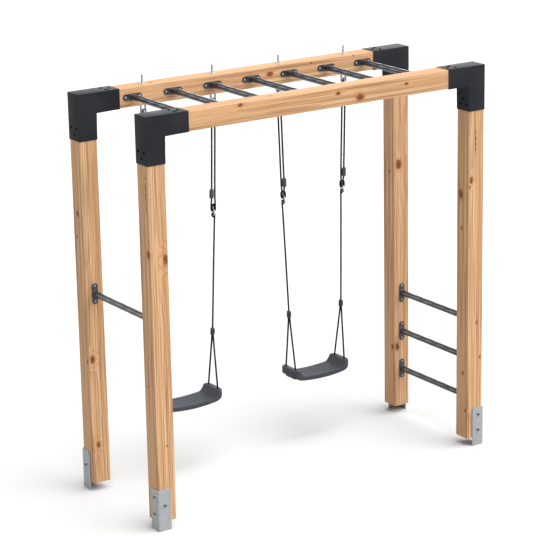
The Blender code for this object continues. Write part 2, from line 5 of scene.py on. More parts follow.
import bmesh
import bpy
from mathutils import Matrix, Vector

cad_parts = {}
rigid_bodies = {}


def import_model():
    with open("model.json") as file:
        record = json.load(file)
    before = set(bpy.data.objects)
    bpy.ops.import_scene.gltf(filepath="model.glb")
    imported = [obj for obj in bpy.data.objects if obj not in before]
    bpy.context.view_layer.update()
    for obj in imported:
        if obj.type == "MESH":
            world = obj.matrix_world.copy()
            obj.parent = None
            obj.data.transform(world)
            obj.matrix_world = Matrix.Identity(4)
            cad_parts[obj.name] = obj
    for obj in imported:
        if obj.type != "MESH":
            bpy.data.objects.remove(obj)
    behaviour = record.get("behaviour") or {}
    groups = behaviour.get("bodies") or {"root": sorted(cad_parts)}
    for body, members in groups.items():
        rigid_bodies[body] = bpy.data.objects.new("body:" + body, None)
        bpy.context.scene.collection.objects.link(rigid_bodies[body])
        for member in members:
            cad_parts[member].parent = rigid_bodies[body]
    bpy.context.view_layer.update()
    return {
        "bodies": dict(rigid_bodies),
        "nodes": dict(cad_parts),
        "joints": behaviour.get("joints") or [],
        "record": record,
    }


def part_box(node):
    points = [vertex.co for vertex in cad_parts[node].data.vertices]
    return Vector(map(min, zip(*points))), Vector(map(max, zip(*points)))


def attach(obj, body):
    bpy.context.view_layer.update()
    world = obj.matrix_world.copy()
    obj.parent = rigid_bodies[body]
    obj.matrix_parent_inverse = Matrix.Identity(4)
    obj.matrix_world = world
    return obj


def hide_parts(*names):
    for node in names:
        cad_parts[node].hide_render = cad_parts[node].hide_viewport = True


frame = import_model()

SIDES = (("left", -1), ("right", 1))
ROWS = ("front", "rear")


def corners(node):
    return [Vector(v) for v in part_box(node)]


def middle(node):
    low, high = corners(node)
    return (low + high) / 2


# ---- main places, in metres
# X runs along the beams with the ladder at +X, the front is at -Y, Z is up.
BEAM_R = middle("beam_rear")
BEAM_F = middle("beam_front")
BEAM_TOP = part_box("beam_rear")[1][2]
TIMBER = 0.103  # side of a post or beam
SWING_Y = BEAM_R.y
SHIFT_Y = (BEAM_R.y + BEAM_F.y) / 2
POST_Y = (BEAM_R.y - BEAM_F.y) / 2
POST_X = middle("post_front_right").x
CAD_HEAD = 0.0035  # the CAD's screw heads stand this high on a sleeve
FRAME_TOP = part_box("corner_sleeve_front_left")[1][2] - CAD_HEAD
GAP = 0.0003  # left between parts that touch

PIN_Z = 2.042  # hanger pins, which the swings turn on
BAR_DROP = 0.067  # from a pin to the bar that the rope hangs from
HOOK_HALF = 0.2188
SWING_X = 0.4336
STRAND = 0.010  # half the distance between the strands of the upper loop
ROPE_R = 0.0055
RING_R = 0.0155
RING_BAR = 0.003
RING_DROP = 0.5525
KNOT_Z = 0.742
PAIR = 0.0050  # half the distance between the two legs where they leave the knot
EYE_BEND = 0.0087
LEAN = 0.004  # the knot sits this far beside the line of the rope

HOLE_X = 0.1705
HOLE_Y = 0.048
SEAT_HALF = (0.194, 0.079)
SEAT_CORNER = 0.035
SEAT_TOP = 0.3745
SEAT_BOTTOM = 0.3467
LUG_TOP = 0.4223
CHANNEL_TOP = 0.372  # top of the slot that the rope crosses in, under a lug
ADJUSTER_Z = {"left": 1.527, "right": 1.5155}


# ---- material tools
def lin(r, g, b, dim=1.0):
    """A colour as the eye reads it, 0 to 255, in the linear values that shaders use."""
    out = []
    for value in (r, g, b):
        value /= 255
        value = value / 12.92 if value <= 0.04045 else ((value + 0.055) / 1.055) ** 2.4
        out.append(value * dim)
    return (*out, 1.0)


class Nodes:
    """Short names for adding shader nodes to a tree."""

    def __init__(self, tree):
        self.tree = tree

    def node(self, kind, inputs=(), **props):
        """The outputs of a new node, whose inputs are either linked or set."""
        made = self.tree.nodes.new(kind)
        for key, value in props.items():
            setattr(made, key, value)
        for key, value in dict(inputs).items():
            if isinstance(value, bpy.types.NodeSocket):
                self.tree.links.new(value, made.inputs[key])
            else:
                made.inputs[key].default_value = value
        return made.outputs

    def math(self, operation, *values):
        return self.node("ShaderNodeMath", dict(enumerate(values)), operation=operation)[0]

    def vector(self, operation, *values):
        made = self.node("ShaderNodeVectorMath", dict(enumerate(values)), operation=operation)
        return made["Value" if operation in ('LENGTH', 'DOT_PRODUCT') else "Vector"]

    def join(self, *parts):
        return self.node("ShaderNodeCombineXYZ", dict(enumerate(parts)))[0]

    def spread(self, value, low, high, to_low=0.0, to_high=1.0, smooth=False):
        """Map low and high onto two other values, and hold them beyond."""
        kind = 'SMOOTHSTEP' if smooth else 'LINEAR'
        return self.node("ShaderNodeMapRange", {0: value, 1: low, 2: high, 3: to_low, 4: to_high},
                         interpolation_type=kind)[0]


class Shade(Nodes):
    """One material: its nodes and its Principled shader."""

    def __init__(self, name, colour, metallic, roughness, specular=0.5):
        self.material = bpy.data.materials.new(name)
        self.material.use_nodes = True
        super().__init__(self.material.node_tree)
        self.shader = self.tree.nodes["Principled BSDF"]
        values = {"Base Color": colour, "Metallic": metallic, "Roughness": roughness,
                  "Specular IOR Level": specular}
        for key, value in values.items():
            self.shader.inputs[key].default_value = value
        self.material.diffuse_color = colour
        self.place = self.node("ShaderNodeTexCoord")["Object"]

    def noise(self, scale, detail=2.0, rough=0.5, place=None):
        """Noise whose grain size may differ along X, Y and Z."""
        if not isinstance(scale, tuple):
            scale = (scale, scale, scale)
        where = self.vector('MULTIPLY', place or self.place, scale)
        inputs = {"Vector": where, "Scale": 1.0, "Detail": detail, "Roughness": rough}
        return self.node("ShaderNodeTexNoise", inputs)["Fac"]

    def blend(self, amount, first, second):
        return self.node("ShaderNodeMix", {0: amount, 6: first, 7: second}, data_type='RGBA')[2]

    def finish(self, colour, rough, height, distance, strength):
        """Wire colour, roughness and a bump to the shader."""
        inputs = {"Height": height, "Distance": distance, "Strength": strength}
        normal = self.node("ShaderNodeBump", inputs)["Normal"]
        for key, socket in (("Base Color", colour), ("Roughness", rough), ("Normal", normal)):
            self.tree.links.new(socket, self.shader.inputs[key])
        return self.material


# ---- materials
WOOD_DIM = 0.62  # darkens all wood tones alike, to suit the light
RING_WIDTH = 0.0046  # one year's growth
CHECK_WIDTH = 0.0055


def wood(r, g, b):
    return lin(r, g, b, WOOD_DIM)


def wood_knots(s, grain, knots):
    """How far a point lies from the nearest knot, in radii of that knot."""
    nearest = None
    for place, radius in knots:
        size = (1 / radius, 1 / radius, 0.68 / radius)
        away = s.vector('MULTIPLY', s.vector('SUBTRACT', grain, place), size)
        distance = s.vector('LENGTH', away)
        nearest = distance if nearest is None else s.math('MINIMUM', nearest, distance)
    return nearest


def wood_rings(s, grain, pith, nearest):
    """Late wood of each year's ring, wavy along the timber and bent round the knots."""
    flow = s.spread(s.noise((3.5, 3.5, 0.9), 2.0, 0.5, grain), 0.2, 0.8, -0.011, 0.011)
    fine = s.spread(s.noise((45, 45, 2.2), 2.0, 0.5, grain), 0.2, 0.8, -0.0016, 0.0016)
    pull = s.spread(nearest, 0.4, 4.0, 0.009, 0.0, smooth=True)
    bent = s.vector('ADD', grain, (-pith[0], -pith[1], 0))
    radius = s.vector('LENGTH', s.vector('MULTIPLY', bent, (1, 1, 0)))
    for offset in (flow, fine, pull):
        radius = s.math('ADD', radius, offset)
    years = s.math('MULTIPLY', radius, 1 / RING_WIDTH)
    part = s.math('FRACT', years)
    late = s.math('MULTIPLY', s.math('POWER', part, 2.2), s.spread(part, 0.88, 1.0, 1.0, 0.0))
    strength = s.noise((0.55, 0, 0), place=s.join(years))
    return s.math('MULTIPLY', late, s.spread(strength, 0.35, 0.65, 0.25, 1.0))


def wood_heart(s, shape, grain):
    """Colour inside a knot: rings, dark splits and a darker middle."""
    rings = s.math('SINE', s.math('MULTIPLY', shape, 17.0))
    heart = s.blend(s.spread(rings, -1, 1), wood(124, 70, 40), wood(156, 92, 52))
    splits = s.spread(s.noise((900, 900, 60), 2.0, 0.6, grain), 0.52, 0.66, 0.0, 0.7)
    heart = s.blend(splits, heart, wood(66, 40, 26))
    return s.blend(s.spread(shape, 0.0, 0.5, 0.6, 0.0, smooth=True), heart, wood(70, 42, 26))


def wood_crack(s, grain, checks):
    """Drying checks: short broken cracks that wander along the grain."""
    crack = None
    for place, reach in checks:
        wander = s.spread(s.noise((0, 0, 26), 3.0, 0.6, grain), 0.2, 0.8, -0.004, 0.004)
        away = s.vector('ADD', s.vector('SUBTRACT', grain, place), s.join(wander, wander))
        size = (1 / CHECK_WIDTH, 1 / CHECK_WIDTH, 1 / reach)
        distance = s.vector('LENGTH', s.vector('MULTIPLY', away, size))
        broken = s.spread(s.noise((4, 4, 75), 2.0, 0.7, grain), 0.38, 0.48)
        mark = s.math('MULTIPLY', s.spread(distance, 0.6, 1.0, 1.0, 0.0), broken)
        crack = mark if crack is None else s.math('MAXIMUM', crack, mark)
    return crack


def wood_material(name, axis, centre, pith, knots, checks):
    """Planed softwood: growth rings round a pith line, fibres, knots and drying checks.

    Knots are (place, radius) and checks are (place, half length).
    """
    s = Shade(name, wood(222, 172, 126), 0.0, 0.6, 0.3)
    split = s.node("ShaderNodeSeparateXYZ", {0: s.vector('SUBTRACT', s.place, tuple(centre))})
    grain = s.join(*(split[key] for key in (("Y", "Z", "X") if axis == 0 else "XYZ")))

    def turned(marks):
        moved = [(Vector(place) - centre, size) for place, size in marks]
        return [((p.y, p.z, p.x) if axis == 0 else tuple(p), size) for p, size in moved]

    nearest = wood_knots(s, grain, turned(knots))
    wobble = s.noise((70, 70, 40), 3.0, 0.6, grain)
    shape = s.math('ADD', nearest, s.spread(wobble, 0.3, 0.7, -0.25, 0.25))
    late = wood_rings(s, grain, pith, nearest)

    broad = s.noise((48, 48, 0.8), 3.0, 0.6, grain)
    patch = s.noise((9, 9, 1.3), 2.0, 0.5, grain)
    fibre = s.noise((520, 520, 7), 2.0, 0.6, grain)
    line = s.noise((170, 170, 1.6), 2.0, 0.6, grain)
    streak = s.noise((240, 240, 2.0), 1.0, 0.5, grain)
    inside = s.spread(shape, 0.78, 1.12, 1.0, 0.0, smooth=True)
    colour = s.blend(s.spread(broad, 0.32, 0.68), wood(244, 205, 158), wood(212, 162, 114))
    for amount, tone in (
            (s.spread(patch, 0.4, 0.7, 0.0, 0.5), wood(228, 178, 128)),
            (s.math('MULTIPLY', late, 0.90), wood(166, 114, 70)),
            (s.spread(line, 0.50, 0.68, 0.0, 0.80), wood(146, 100, 62)),
            (s.spread(fibre, 0.25, 0.75, 0.25, 0.0), wood(150, 98, 60)),
            (s.spread(streak, 0.70, 0.78, 0.0, 0.5, smooth=True), wood(146, 86, 46)),
            (s.spread(shape, 0.9, 2.1, 0.60, 0.0, smooth=True), wood(192, 122, 70)),
            (inside, wood_heart(s, shape, grain))):
        colour = s.blend(amount, colour, tone)

    height = s.math('ADD', s.math('MULTIPLY', late, 0.35), s.math('MULTIPLY', fibre, 0.5))
    height = s.math('ADD', height, s.math('MULTIPLY', inside, 0.5))
    if checks:
        crack = wood_crack(s, grain, turned(checks))
        colour = s.blend(s.math('MULTIPLY', crack, 0.85), colour, wood(58, 38, 26))
        height = s.math('SUBTRACT', height, crack)
    rough = s.math('ADD', s.spread(late, 0, 1, 0.68, 0.58), s.spread(fibre, 0.3, 0.7, -0.05, 0.05))
    return s.finish(colour, rough, height, 0.0005, 0.6)


def plain_material(name, base, low, high, rough, scales, relief, metallic=0.0, specular=0.5):
    """Soft clouds between two tones, with a fine grain in the roughness and the relief.

    Rough is (low, high), scales are those of the clouds and the grain, and relief is the
    distance and strength of the bump.
    """
    s = Shade(name, base, metallic, rough[1], specular)
    cloud = s.noise(scales[0], 3.0)
    grain = s.noise(scales[1], 2.0)
    colour = s.blend(s.spread(cloud, 0.3, 0.7), low, high)
    gloss = s.math('ADD', s.spread(cloud, 0.3, 0.7, *rough), s.spread(grain, 0.3, 0.7, -0.04, 0.04))
    return s.finish(colour, gloss, grain, *relief)


def coat_material():
    """Anthracite coat of the rungs, with a faint metallic grain."""
    s = Shade("anthracite_coat", lin(47, 49, 53), 0.25, 0.3)
    speck = s.noise(900, 2.0)
    wear = s.noise((30, 14, 30), 3.0)
    colour = s.blend(s.spread(speck, 0.3, 0.7), lin(42, 44, 48), lin(53, 55, 60))
    colour = s.blend(s.spread(wear, 0.5, 0.8, 0.0, 0.3), colour, lin(66, 68, 72))
    return s.finish(colour, s.spread(wear, 0.3, 0.7, 0.19, 0.28), speck, 0.0001, 0.4)


def galvanised_material():
    """Hot-dip zinc: dull grey with crystal flowers and a few pale runs."""
    s = Shade("galvanised_zinc", lin(144, 147, 149), 0.5, 0.5)
    where = s.vector('MULTIPLY', s.place, (1, 1, 0.8))
    cells = s.node("ShaderNodeTexVoronoi", {"Vector": where, "Scale": 120.0})
    tone = s.node("ShaderNodeSeparateColor", {0: cells["Color"]})[0]
    cloud = s.noise((26, 26, 9), 3.0)
    colour = s.blend(tone, lin(135, 138, 140), lin(150, 153, 154))
    colour = s.blend(s.spread(cloud, 0.35, 0.75, 0.0, 0.4), colour, lin(158, 160, 161))
    rough = s.math('ADD', s.spread(tone, 0, 1, 0.42, 0.52), s.spread(cloud, 0.3, 0.7, -0.05, 0.07))
    return s.finish(colour, rough, s.noise(700, 2.0), 0.00015, 0.5)


def zinc_material(name, low, high, rough):
    """Zinc plating of the screws, hangers, links and rings."""
    return plain_material(name, lin(*high), lin(*low), lin(*high), rough,
                          (110, (900, 900, 220)), (0.0001, 0.4), metallic=0.9)


def rope_material(name, low, high, dust):
    """Black polypropylene rope: fine filaments with a soft sheen."""
    s = Shade(name, lin(low, low, low), 0.0, 0.8, 0.12)
    fibre = s.noise((2600, 2600, 420), 2.0)
    cloud = s.noise((60, 60, 30), 3.0)
    colour = s.blend(s.spread(fibre, 0.3, 0.7), lin(low, low, low), lin(high, high, high))
    colour = s.blend(s.spread(cloud, 0.5, 0.8, 0.0, 0.25), colour, lin(dust, dust, dust))
    return s.finish(colour, s.spread(fibre, 0.3, 0.7, 0.65, 0.85), fibre, 0.0003, 0.7)


def moulded_material(name, dark, light, rough, grain, specular=0.3):
    """Moulded plastic with a fine leather-like grain; rough is (low, high)."""
    dark, light = lin(*dark), lin(*light)
    s = Shade(name, dark, 0.0, sum(rough) / 2, specular)
    cloud = s.noise(16, 3.0)
    pores = s.node("ShaderNodeTexVoronoi", {"Vector": s.place, "Scale": grain})["Distance"]
    speck = s.noise(grain * 2, 2.0)
    colour = s.blend(s.spread(cloud, 0.3, 0.7), dark, light)
    colour = s.blend(s.spread(speck, 0.4, 0.7, 0.0, 0.25), colour, light)
    gloss = s.math('ADD', s.spread(cloud, 0.3, 0.7, *rough), s.spread(speck, 0.3, 0.7, -0.04, 0.04))
    return s.finish(colour, gloss, pores, 0.0003, 0.45)


POWDER = plain_material("black_powder_coat", lin(33, 33, 35), lin(29, 30, 33), lin(36, 37, 40),
                        (0.40, 0.50), (9, 520), (0.0002, 0.5), specular=0.05)
COAT = coat_material()
GALVANISED = galvanised_material()
BRIGHT = zinc_material("bright_zinc", (176, 178, 184), (206, 208, 211), (0.28, 0.42))
DULL = zinc_material("dull_zinc", (128, 131, 137), (158, 161, 167), (0.34, 0.48))
# Zinc darkened as painted shade, for the shaded sides of the foot screws' hex heads.
PAINTED_SHADE_ZINC = zinc_material("painted_shade_zinc", (84, 86, 90), (112, 115, 120), (0.30, 0.42))
ROPE = rope_material("black_rope", 13, 28, 32)
# The knot's rope is a lighter grey than the rest of the rope.
KNOT = rope_material("lighter_knot_rope", 44, 66, 78)
SEAT = moulded_material("seat_plastic", (49, 51, 57), (57, 59, 65), (0.5, 0.62), 900.0, 0.14)
BLOCK = moulded_material("adjuster_plastic", (52, 52, 53), (64, 64, 65), (0.5, 0.6), 1400.0)
BLACK_SCREW = moulded_material("black_screw", (9, 9, 10), (15, 15, 16), (0.5, 0.6), 2400.0, 0.04)
NYLON = moulded_material("black_nylon", (34, 34, 36), (44, 44, 46), (0.35, 0.45), 2000.0)


# ---- mesh tools
def mesh_of(name, source, material, angle):
    """Smooth mesh of a bmesh, sharp at the edges that turn more than the angle in degrees."""
    mesh = bpy.data.meshes.new(name)
    bmesh.ops.recalc_face_normals(source, faces=source.faces)
    source.to_mesh(mesh)
    source.free()
    mesh.materials.append(material)
    mesh.shade_smooth()
    mesh.set_sharp_from_angle(angle=math.radians(angle))
    return mesh


def add(name, data):
    item = bpy.data.objects.new(name, data)
    bpy.context.scene.collection.objects.link(item)
    return item


def set_piece(name, mesh, body, nodes=()):
    """Name a piece, hang it on the body that it rides on, and hide the CAD parts that it replaces.
    """
    item = add(name, mesh)
    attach(item, body)
    if nodes:
        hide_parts(*nodes)


def piece(name, source, material, body, nodes, angle):
    set_piece(name, mesh_of(name, source, material, angle), body, nodes)


def ramp(value, start, length):
    """0 up to start, then rising to 1 over length."""
    return min(max((value - start) / length, 0.0), 1.0)


def facing(direction, at=(0, 0, 0)):
    """Frame whose local Z points along direction."""
    turn = Vector((0, 0, 1)).rotation_difference(Vector(direction)).to_matrix().to_4x4()
    return Matrix.Translation(Vector(at)) @ turn


SWAP_YZ = Matrix(((1, 0, 0, 0), (0, 0, 1, 0), (0, 1, 0, 0), (0, 0, 0, 1)))
CYCLE_XYZ = Matrix(((0, 0, 1, 0), (1, 0, 0, 0), (0, 1, 0, 0), (0, 0, 0, 1)))
ALONG_X = Matrix.Rotation(math.pi / 2, 4, 'Y')


def rounded(outline, radius, steps=3, skip=()):
    """Round the corners of a closed outline, both the outer and the inner ones."""
    points = []
    count = len(outline)
    for i, corner in enumerate(outline):
        corner = Vector(corner)
        back = (Vector(outline[i - 1]) - corner).normalized()
        ahead = (Vector(outline[(i + 1) % count]) - corner).normalized()
        if i in skip:
            points.append(corner)
            continue
        start = corner + back * radius
        end = corner + ahead * radius
        for k in range(steps + 1):
            t = k / steps
            points.append((1 - t) ** 2 * start + 2 * t * (1 - t) * corner + t * t * end)
    return points


def inset(outline, amount):
    """Move every side of a counter-clockwise outline inwards."""
    moved = []
    count = len(outline)
    for i, corner in enumerate(outline):
        back = (Vector(corner) - Vector(outline[i - 1])).normalized()
        ahead = (Vector(outline[(i + 1) % count]) - Vector(corner)).normalized()
        normal = Vector((-(back.y + ahead.y), back.x + ahead.x)).normalized()
        moved.append(Vector(corner) + normal * amount)
    return moved


def stacked(bm, levels, frame):
    """Closed body through (outline, height) levels along local Z."""
    closed(bm, [[bm.verts.new(frame @ Vector((*point, height))) for point in outline]
                for outline, height in levels])


def prism(bm, outline, near, far, frame, edge=0.0005):
    """Extrude a counter-clockwise outline along local Z, with its end edges broken."""
    inner = inset(outline, edge)
    stacked(bm, ((inner, near), (outline, near + edge), (outline, far - edge), (inner, far)),
            frame)


def skin(bm, rows, loop=False, cyclic=True):
    """Faces between rows of vertices."""
    count = len(rows[0])
    pairs = list(zip(rows, rows[1:]))
    if loop:
        pairs.append((rows[-1], rows[0]))
    for lower, upper in pairs:
        for i in range(count if cyclic else count - 1):
            j = (i + 1) % count
            bm.faces.new((lower[i], lower[j], upper[j], upper[i]))


def closed(bm, rows, loop=False):
    """Faces between rows, and caps on the two end rows unless they meet in a loop."""
    if not loop:
        bm.faces.new(list(reversed(rows[0])))
        bm.faces.new(rows[-1])
    skin(bm, rows, loop=loop)


def lathe(bm, profile, sides, frame, hollow=False, shape=None):
    """Revolve (radius, height) pairs.  shape(angle, radius, row) may change the radius."""
    rows = []
    for row, (radius, height) in enumerate(profile):
        ring = []
        for i in range(sides):
            angle = 2 * math.pi * i / sides
            size = shape(angle, radius, row) if shape else radius
            spot = Vector((size * math.cos(angle), size * math.sin(angle), height))
            ring.append(bm.verts.new(frame @ spot))
        rows.append(ring)
    closed(bm, rows, loop=hollow)


def hexagon(angle):
    """Radius of a hexagon of unit inner radius."""
    sixth = math.pi / 3
    return 1 / math.cos((angle + sixth / 2) % sixth - sixth / 2)


def hex_body(bm, frame, flats, low, high, bore=0.0):
    """Hexagon nut or head with chamfered corners."""
    half = flats / 2
    tip = half / math.cos(math.pi / 6)
    ease = (tip - half) * 0.58
    profile = [(half, low), (tip, low + ease), (tip, high - ease), (half, high)]
    if bore:
        profile += [(bore + 0.0006, high), (bore, high - 0.0006), (bore, low)]

    def shape(angle, radius, row):
        return min(half * hexagon(angle), radius) if radius > bore + 0.001 else radius
    lathe(bm, profile, 36, frame, hollow=bool(bore), shape=shape)


def star_screw(bm, frame, radius, height):
    """Pan head with a six-lobed recess."""
    recess = radius * 0.42
    lobed = (7, 8)  # rows of the profile that make the recess's wall

    def shape(angle, size, row):
        return size * (1 + 0.16 * math.cos(6 * angle)) if row in lobed else size
    profile = [(radius * 0.94, -0.0002), (radius, height * 0.18), (radius * 0.98, height * 0.42),
               (radius * 0.88, height * 0.70), (radius * 0.72, height * 0.90),
               (radius * 0.55, height), (recess * 1.25, height), (recess, height * 0.99),
               (recess * 0.95, height * 0.35), (recess * 0.2, height * 0.25)]
    lathe(bm, profile, 24, frame, shape=shape)


def cut(base, tool):
    """Exact boolean difference of two bmeshes, returned as a bmesh."""
    pair = []
    for source in (base, tool):
        mesh = bpy.data.meshes.new("work")
        bmesh.ops.recalc_face_normals(source, faces=source.faces)
        source.to_mesh(mesh)
        source.free()
        pair.append(add("work", mesh))
    body, cutter = pair
    step = body.modifiers.new("cut", 'BOOLEAN')
    step.operation = 'DIFFERENCE'
    step.solver = 'EXACT'
    step.object = cutter
    bpy.context.view_layer.update()
    graph = bpy.context.evaluated_depsgraph_get()
    made = bmesh.new()
    made.from_mesh(body.evaluated_get(graph).to_mesh())
    for item in pair:
        bpy.data.objects.remove(item, do_unlink=True)
    return made


def relaxed(path, rounds):
    """Cut the corners of a path so that it runs as one smooth curve."""
    for _ in range(rounds):
        new = [path[0]]
        for a, b in zip(path, path[1:]):
            new += [a.lerp(b, 0.25), a.lerp(b, 0.75)]
        path = new + [path[-1]]
    return path


def resampled(path, step, cyclic=False):
    """Points at even spacing along a path."""
    closed = path + [path[0]] if cyclic else path
    total = sum((b - a).length for a, b in zip(closed, closed[1:]))
    count = max(2, round(total / step))
    gap = total / count
    out = [closed[0].copy()]
    walked = 0.0
    target = gap
    for a, b in zip(closed, closed[1:]):
        length = (b - a).length
        while target <= walked + length + 1e-9 and len(out) < count + 1:
            out.append(a.lerp(b, min((target - walked) / max(length, 1e-9), 1.0)))
            target += gap
        walked += length
    return out[:-1] if cyclic else out


def sweep(bm, path, section, cyclic=False, twist=0.0):
    """Sweep a round section, given as radii at even angles, along a path."""
    count = len(path)
    tangents = []
    for i in range(count):
        ahead = path[(i + 1) % count] if cyclic or i + 1 < count else path[i]
        back = path[i - 1] if cyclic or i > 0 else path[i]
        tangents.append((ahead - back).normalized())
    normal = tangents[0].orthogonal().normalized()
    normals = []
    for tangent in tangents:
        normal = (normal - tangent * normal.dot(tangent)).normalized()
        normals.append(normal)
    closing = 0.0
    if cyclic:
        last = (normals[-1] - tangents[0] * normals[-1].dot(tangents[0])).normalized()
        closing = math.atan2(last.cross(normals[0]).dot(tangents[0]), last.dot(normals[0]))
    rows = []
    turn = 0.0
    for i in range(count):
        side = tangents[i].cross(normals[i])
        if i:
            turn += twist * (path[i] - path[i - 1]).length
        ring = []
        for k, size in enumerate(section):
            angle = 2 * math.pi * k / len(section) + turn + closing * i / count
            out = math.cos(angle) * normals[i] + math.sin(angle) * side
            ring.append(bm.verts.new(path[i] + size * out))
        rows.append(ring)
    closed(bm, rows, loop=cyclic)


def strand_section(radius, sides=18):
    """Outline of a three-strand laid rope: three circles, with the grooves part filled."""
    part = 0.464  # radius of one strand, where the rope's is 1
    reach = 1 - part
    groove = 0.87
    section = []
    for k in range(sides):
        angle = math.radians((360.0 * k / sides + 60.0) % 120.0 - 60.0)
        inside = max(part ** 2 - (reach * math.sin(angle)) ** 2, 0.0)
        size = reach * math.cos(angle) + math.sqrt(inside)
        section.append(radius * max(size, groove))
    return section


LAY = 2 * math.pi / 0.030  # one turn of the strands every 30 mm


def rope(bm, path, radius=ROPE_R, step=0.0028, rounds=2):
    sweep(bm, resampled(relaxed(path, rounds), step), strand_section(radius), twist=LAY)


def arc(centre, radius, start, stop, steps):
    """Points of an arc in the XZ plane, angles in degrees from +X towards +Z."""
    points = []
    for i in range(steps + 1):
        angle = math.radians(start + (stop - start) * i / steps)
        points.append(Vector(centre) + Vector((radius * math.cos(angle), 0.0,
                                               radius * math.sin(angle))))
    return points


# ---- timber
def on_face(node, face, across, along):
    """A place on one face of a timber: F front, B back, L left, R right, T top, U under.

    Across is X or Y on a post and Z on a beam (Y on its top and underside).
    """
    low, high = corners(node)
    if node.startswith("post"):
        return {"F": (across, low.y, along), "B": (across, high.y, along),
                "L": (low.x, across, along), "R": (high.x, across, along)}[face]
    return {"F": (along, low.y, across), "B": (along, high.y, across),
            "T": (along, across, high.z), "U": (along, across, low.z)}[face]


def timber(node, pith, knots, checks=()):
    """Post or beam.  Knots are (face, across, along, radius), and checks end in half a length."""
    axis = 2 if node.startswith("post") else 0
    low, high = corners(node)
    centre = middle(node)
    half = TIMBER / 2
    square = [(-half, -half), (half, -half), (half, half), (-half, half)]
    outline = rounded(rounded(square, 0.0026, 1), 0.0008, 2)
    bm = bmesh.new()
    reach = (high[axis] - low[axis]) / 2
    turn = ALONG_X if axis == 0 else Matrix.Identity(4)
    prism(bm, outline, -reach, reach, Matrix.Translation(centre) @ turn, 0.001)
    spots = [(on_face(node, *place), radius) for *place, radius in knots]
    marks = [(on_face(node, *place), reach) for *place, reach in checks]
    material = wood_material("planed_wood_" + node, axis, centre, pith, spots, marks)
    piece(node + "_planed", bm, material, "frame", (node,), 20)


timber("post_front_left", (0.060, 0.200), (
    ("L", -0.383, 1.487, 0.014), ("F", -0.977, 1.452, 0.019), ("L", -0.334, 0.778, 0.006),
    ("R", -0.345, 0.62, 0.012), ("B", -1.030, 1.02, 0.013), ("F", -1.01, 0.46, 0.004)),
    (("L", -0.374, 1.80, 0.14),))
timber("post_front_right", (-0.070, 0.170), (
    ("L", -0.332, 1.469, 0.019), ("F", 0.985, 1.559, 0.012), ("L", -0.342, 1.277, 0.008),
    ("L", -0.358, 0.432, 0.008), ("L", -0.381, 0.214, 0.007), ("F", 1.028, 0.733, 0.007),
    ("F", 1.053, 0.523, 0.006), ("F", 0.974, 1.520, 0.006), ("R", -0.36, 1.18, 0.012),
    ("B", 1.00, 0.9, 0.010)),
    (("F", 1.013, 1.77, 0.085),))
timber("post_rear_left", (-0.045, 0.210), (
    ("L", 0.336, 1.549, 0.012), ("L", 0.355, 1.419, 0.007), ("F", -1.048, 0.752, 0.014),
    ("F", -1.033, 0.267, 0.011), ("L", 0.300, 0.74, 0.007), ("R", 0.33, 1.12, 0.011),
    ("B", -1.01, 0.55, 0.014), ("B", -1.04, 1.6, 0.009)))
timber("post_rear_right", (0.050, 0.180), (
    ("F", 1.000, 1.516, 0.019), ("L", 0.324, 1.473, 0.007), ("L", 0.302, 0.415, 0.011),
    ("F", 0.985, 0.417, 0.014), ("R", 0.34, 0.95, 0.013), ("B", 1.01, 1.25, 0.011)))
timber("beam_front", (0.140, 0.120), (
    ("F", 2.161, 0.093, 0.009), ("F", 2.123, 0.234, 0.019), ("F", 2.156, 0.537, 0.008),
    ("F", 2.182, -0.514, 0.010), ("T", -0.35, -0.30, 0.008), ("U", -0.34, 0.62, 0.011),
    ("B", 2.12, -0.2, 0.009)))
timber("beam_rear", (0.170, -0.090), (
    ("F", 2.153, 0.125, 0.014), ("F", 2.180, 0.398, 0.005), ("F", 2.186, 0.684, 0.005),
    ("B", 2.13, -0.35, 0.012), ("B", 2.16, 0.52, 0.009), ("T", 0.33, -0.60, 0.007)))


# ---- corner sleeves
SLEEVE = 0.1086  # outer side of the square tube
WALL = 0.0025
REACH = 0.2500
SCREW_GAP = 0.027
SCREW_ROWS = (0.033, 0.066)  # from the open end of an arm
SLEEVE_HEAD = (0.0076, 0.0034)  # radius and height


def sleeve_screws(sx, y):
    """Place and direction of each screw: a staggered row of three on each face of each arm."""
    outer = sx * (POST_X + SLEEVE / 2)
    inner = sx * (POST_X - SLEEVE / 2)
    arm_end = sx * (POST_X + SLEEVE / 2 - REACH)
    leg_end = FRAME_TOP - REACH
    spots = []
    for side in (-SCREW_GAP, 0.0, SCREW_GAP):
        first, second = SCREW_ROWS if side == 0.0 else reversed(SCREW_ROWS)
        spots.append(((arm_end + sx * first, y + side, FRAME_TOP), (0, 0, 1)))
        spots.append(((arm_end + sx * second, y + side, FRAME_TOP - SLEEVE), (0, 0, -1)))
        spots.append(((outer, y + side, leg_end + first), (sx, 0, 0)))
        spots.append(((inner, y + side, leg_end + second), (-sx, 0, 0)))
    return spots


def elbow(sx, y, off, over):
    """Solid elbow: the sleeve's outside, or its inside when off is the wall's thickness."""
    outer = POST_X + SLEEVE / 2 - off
    inner = POST_X - SLEEVE / 2 + off
    arm = POST_X + SLEEVE / 2 - REACH - over
    top = FRAME_TOP - off
    under = FRAME_TOP - SLEEVE + off
    leg = FRAME_TOP - REACH - over
    outline = [(outer, top), (arm, top), (arm, under), (inner, under), (inner, leg), (outer, leg)]
    if sx > 0:
        outline.reverse()
    half = SLEEVE / 2 - off
    bm = bmesh.new()
    place = Matrix.Translation((0, y, 0)) @ Matrix.Diagonal((sx, 1, 1, 1)) @ SWAP_YZ
    stacked(bm, ((outline, -half), (outline, half)), place)
    return bm, sx * arm, leg


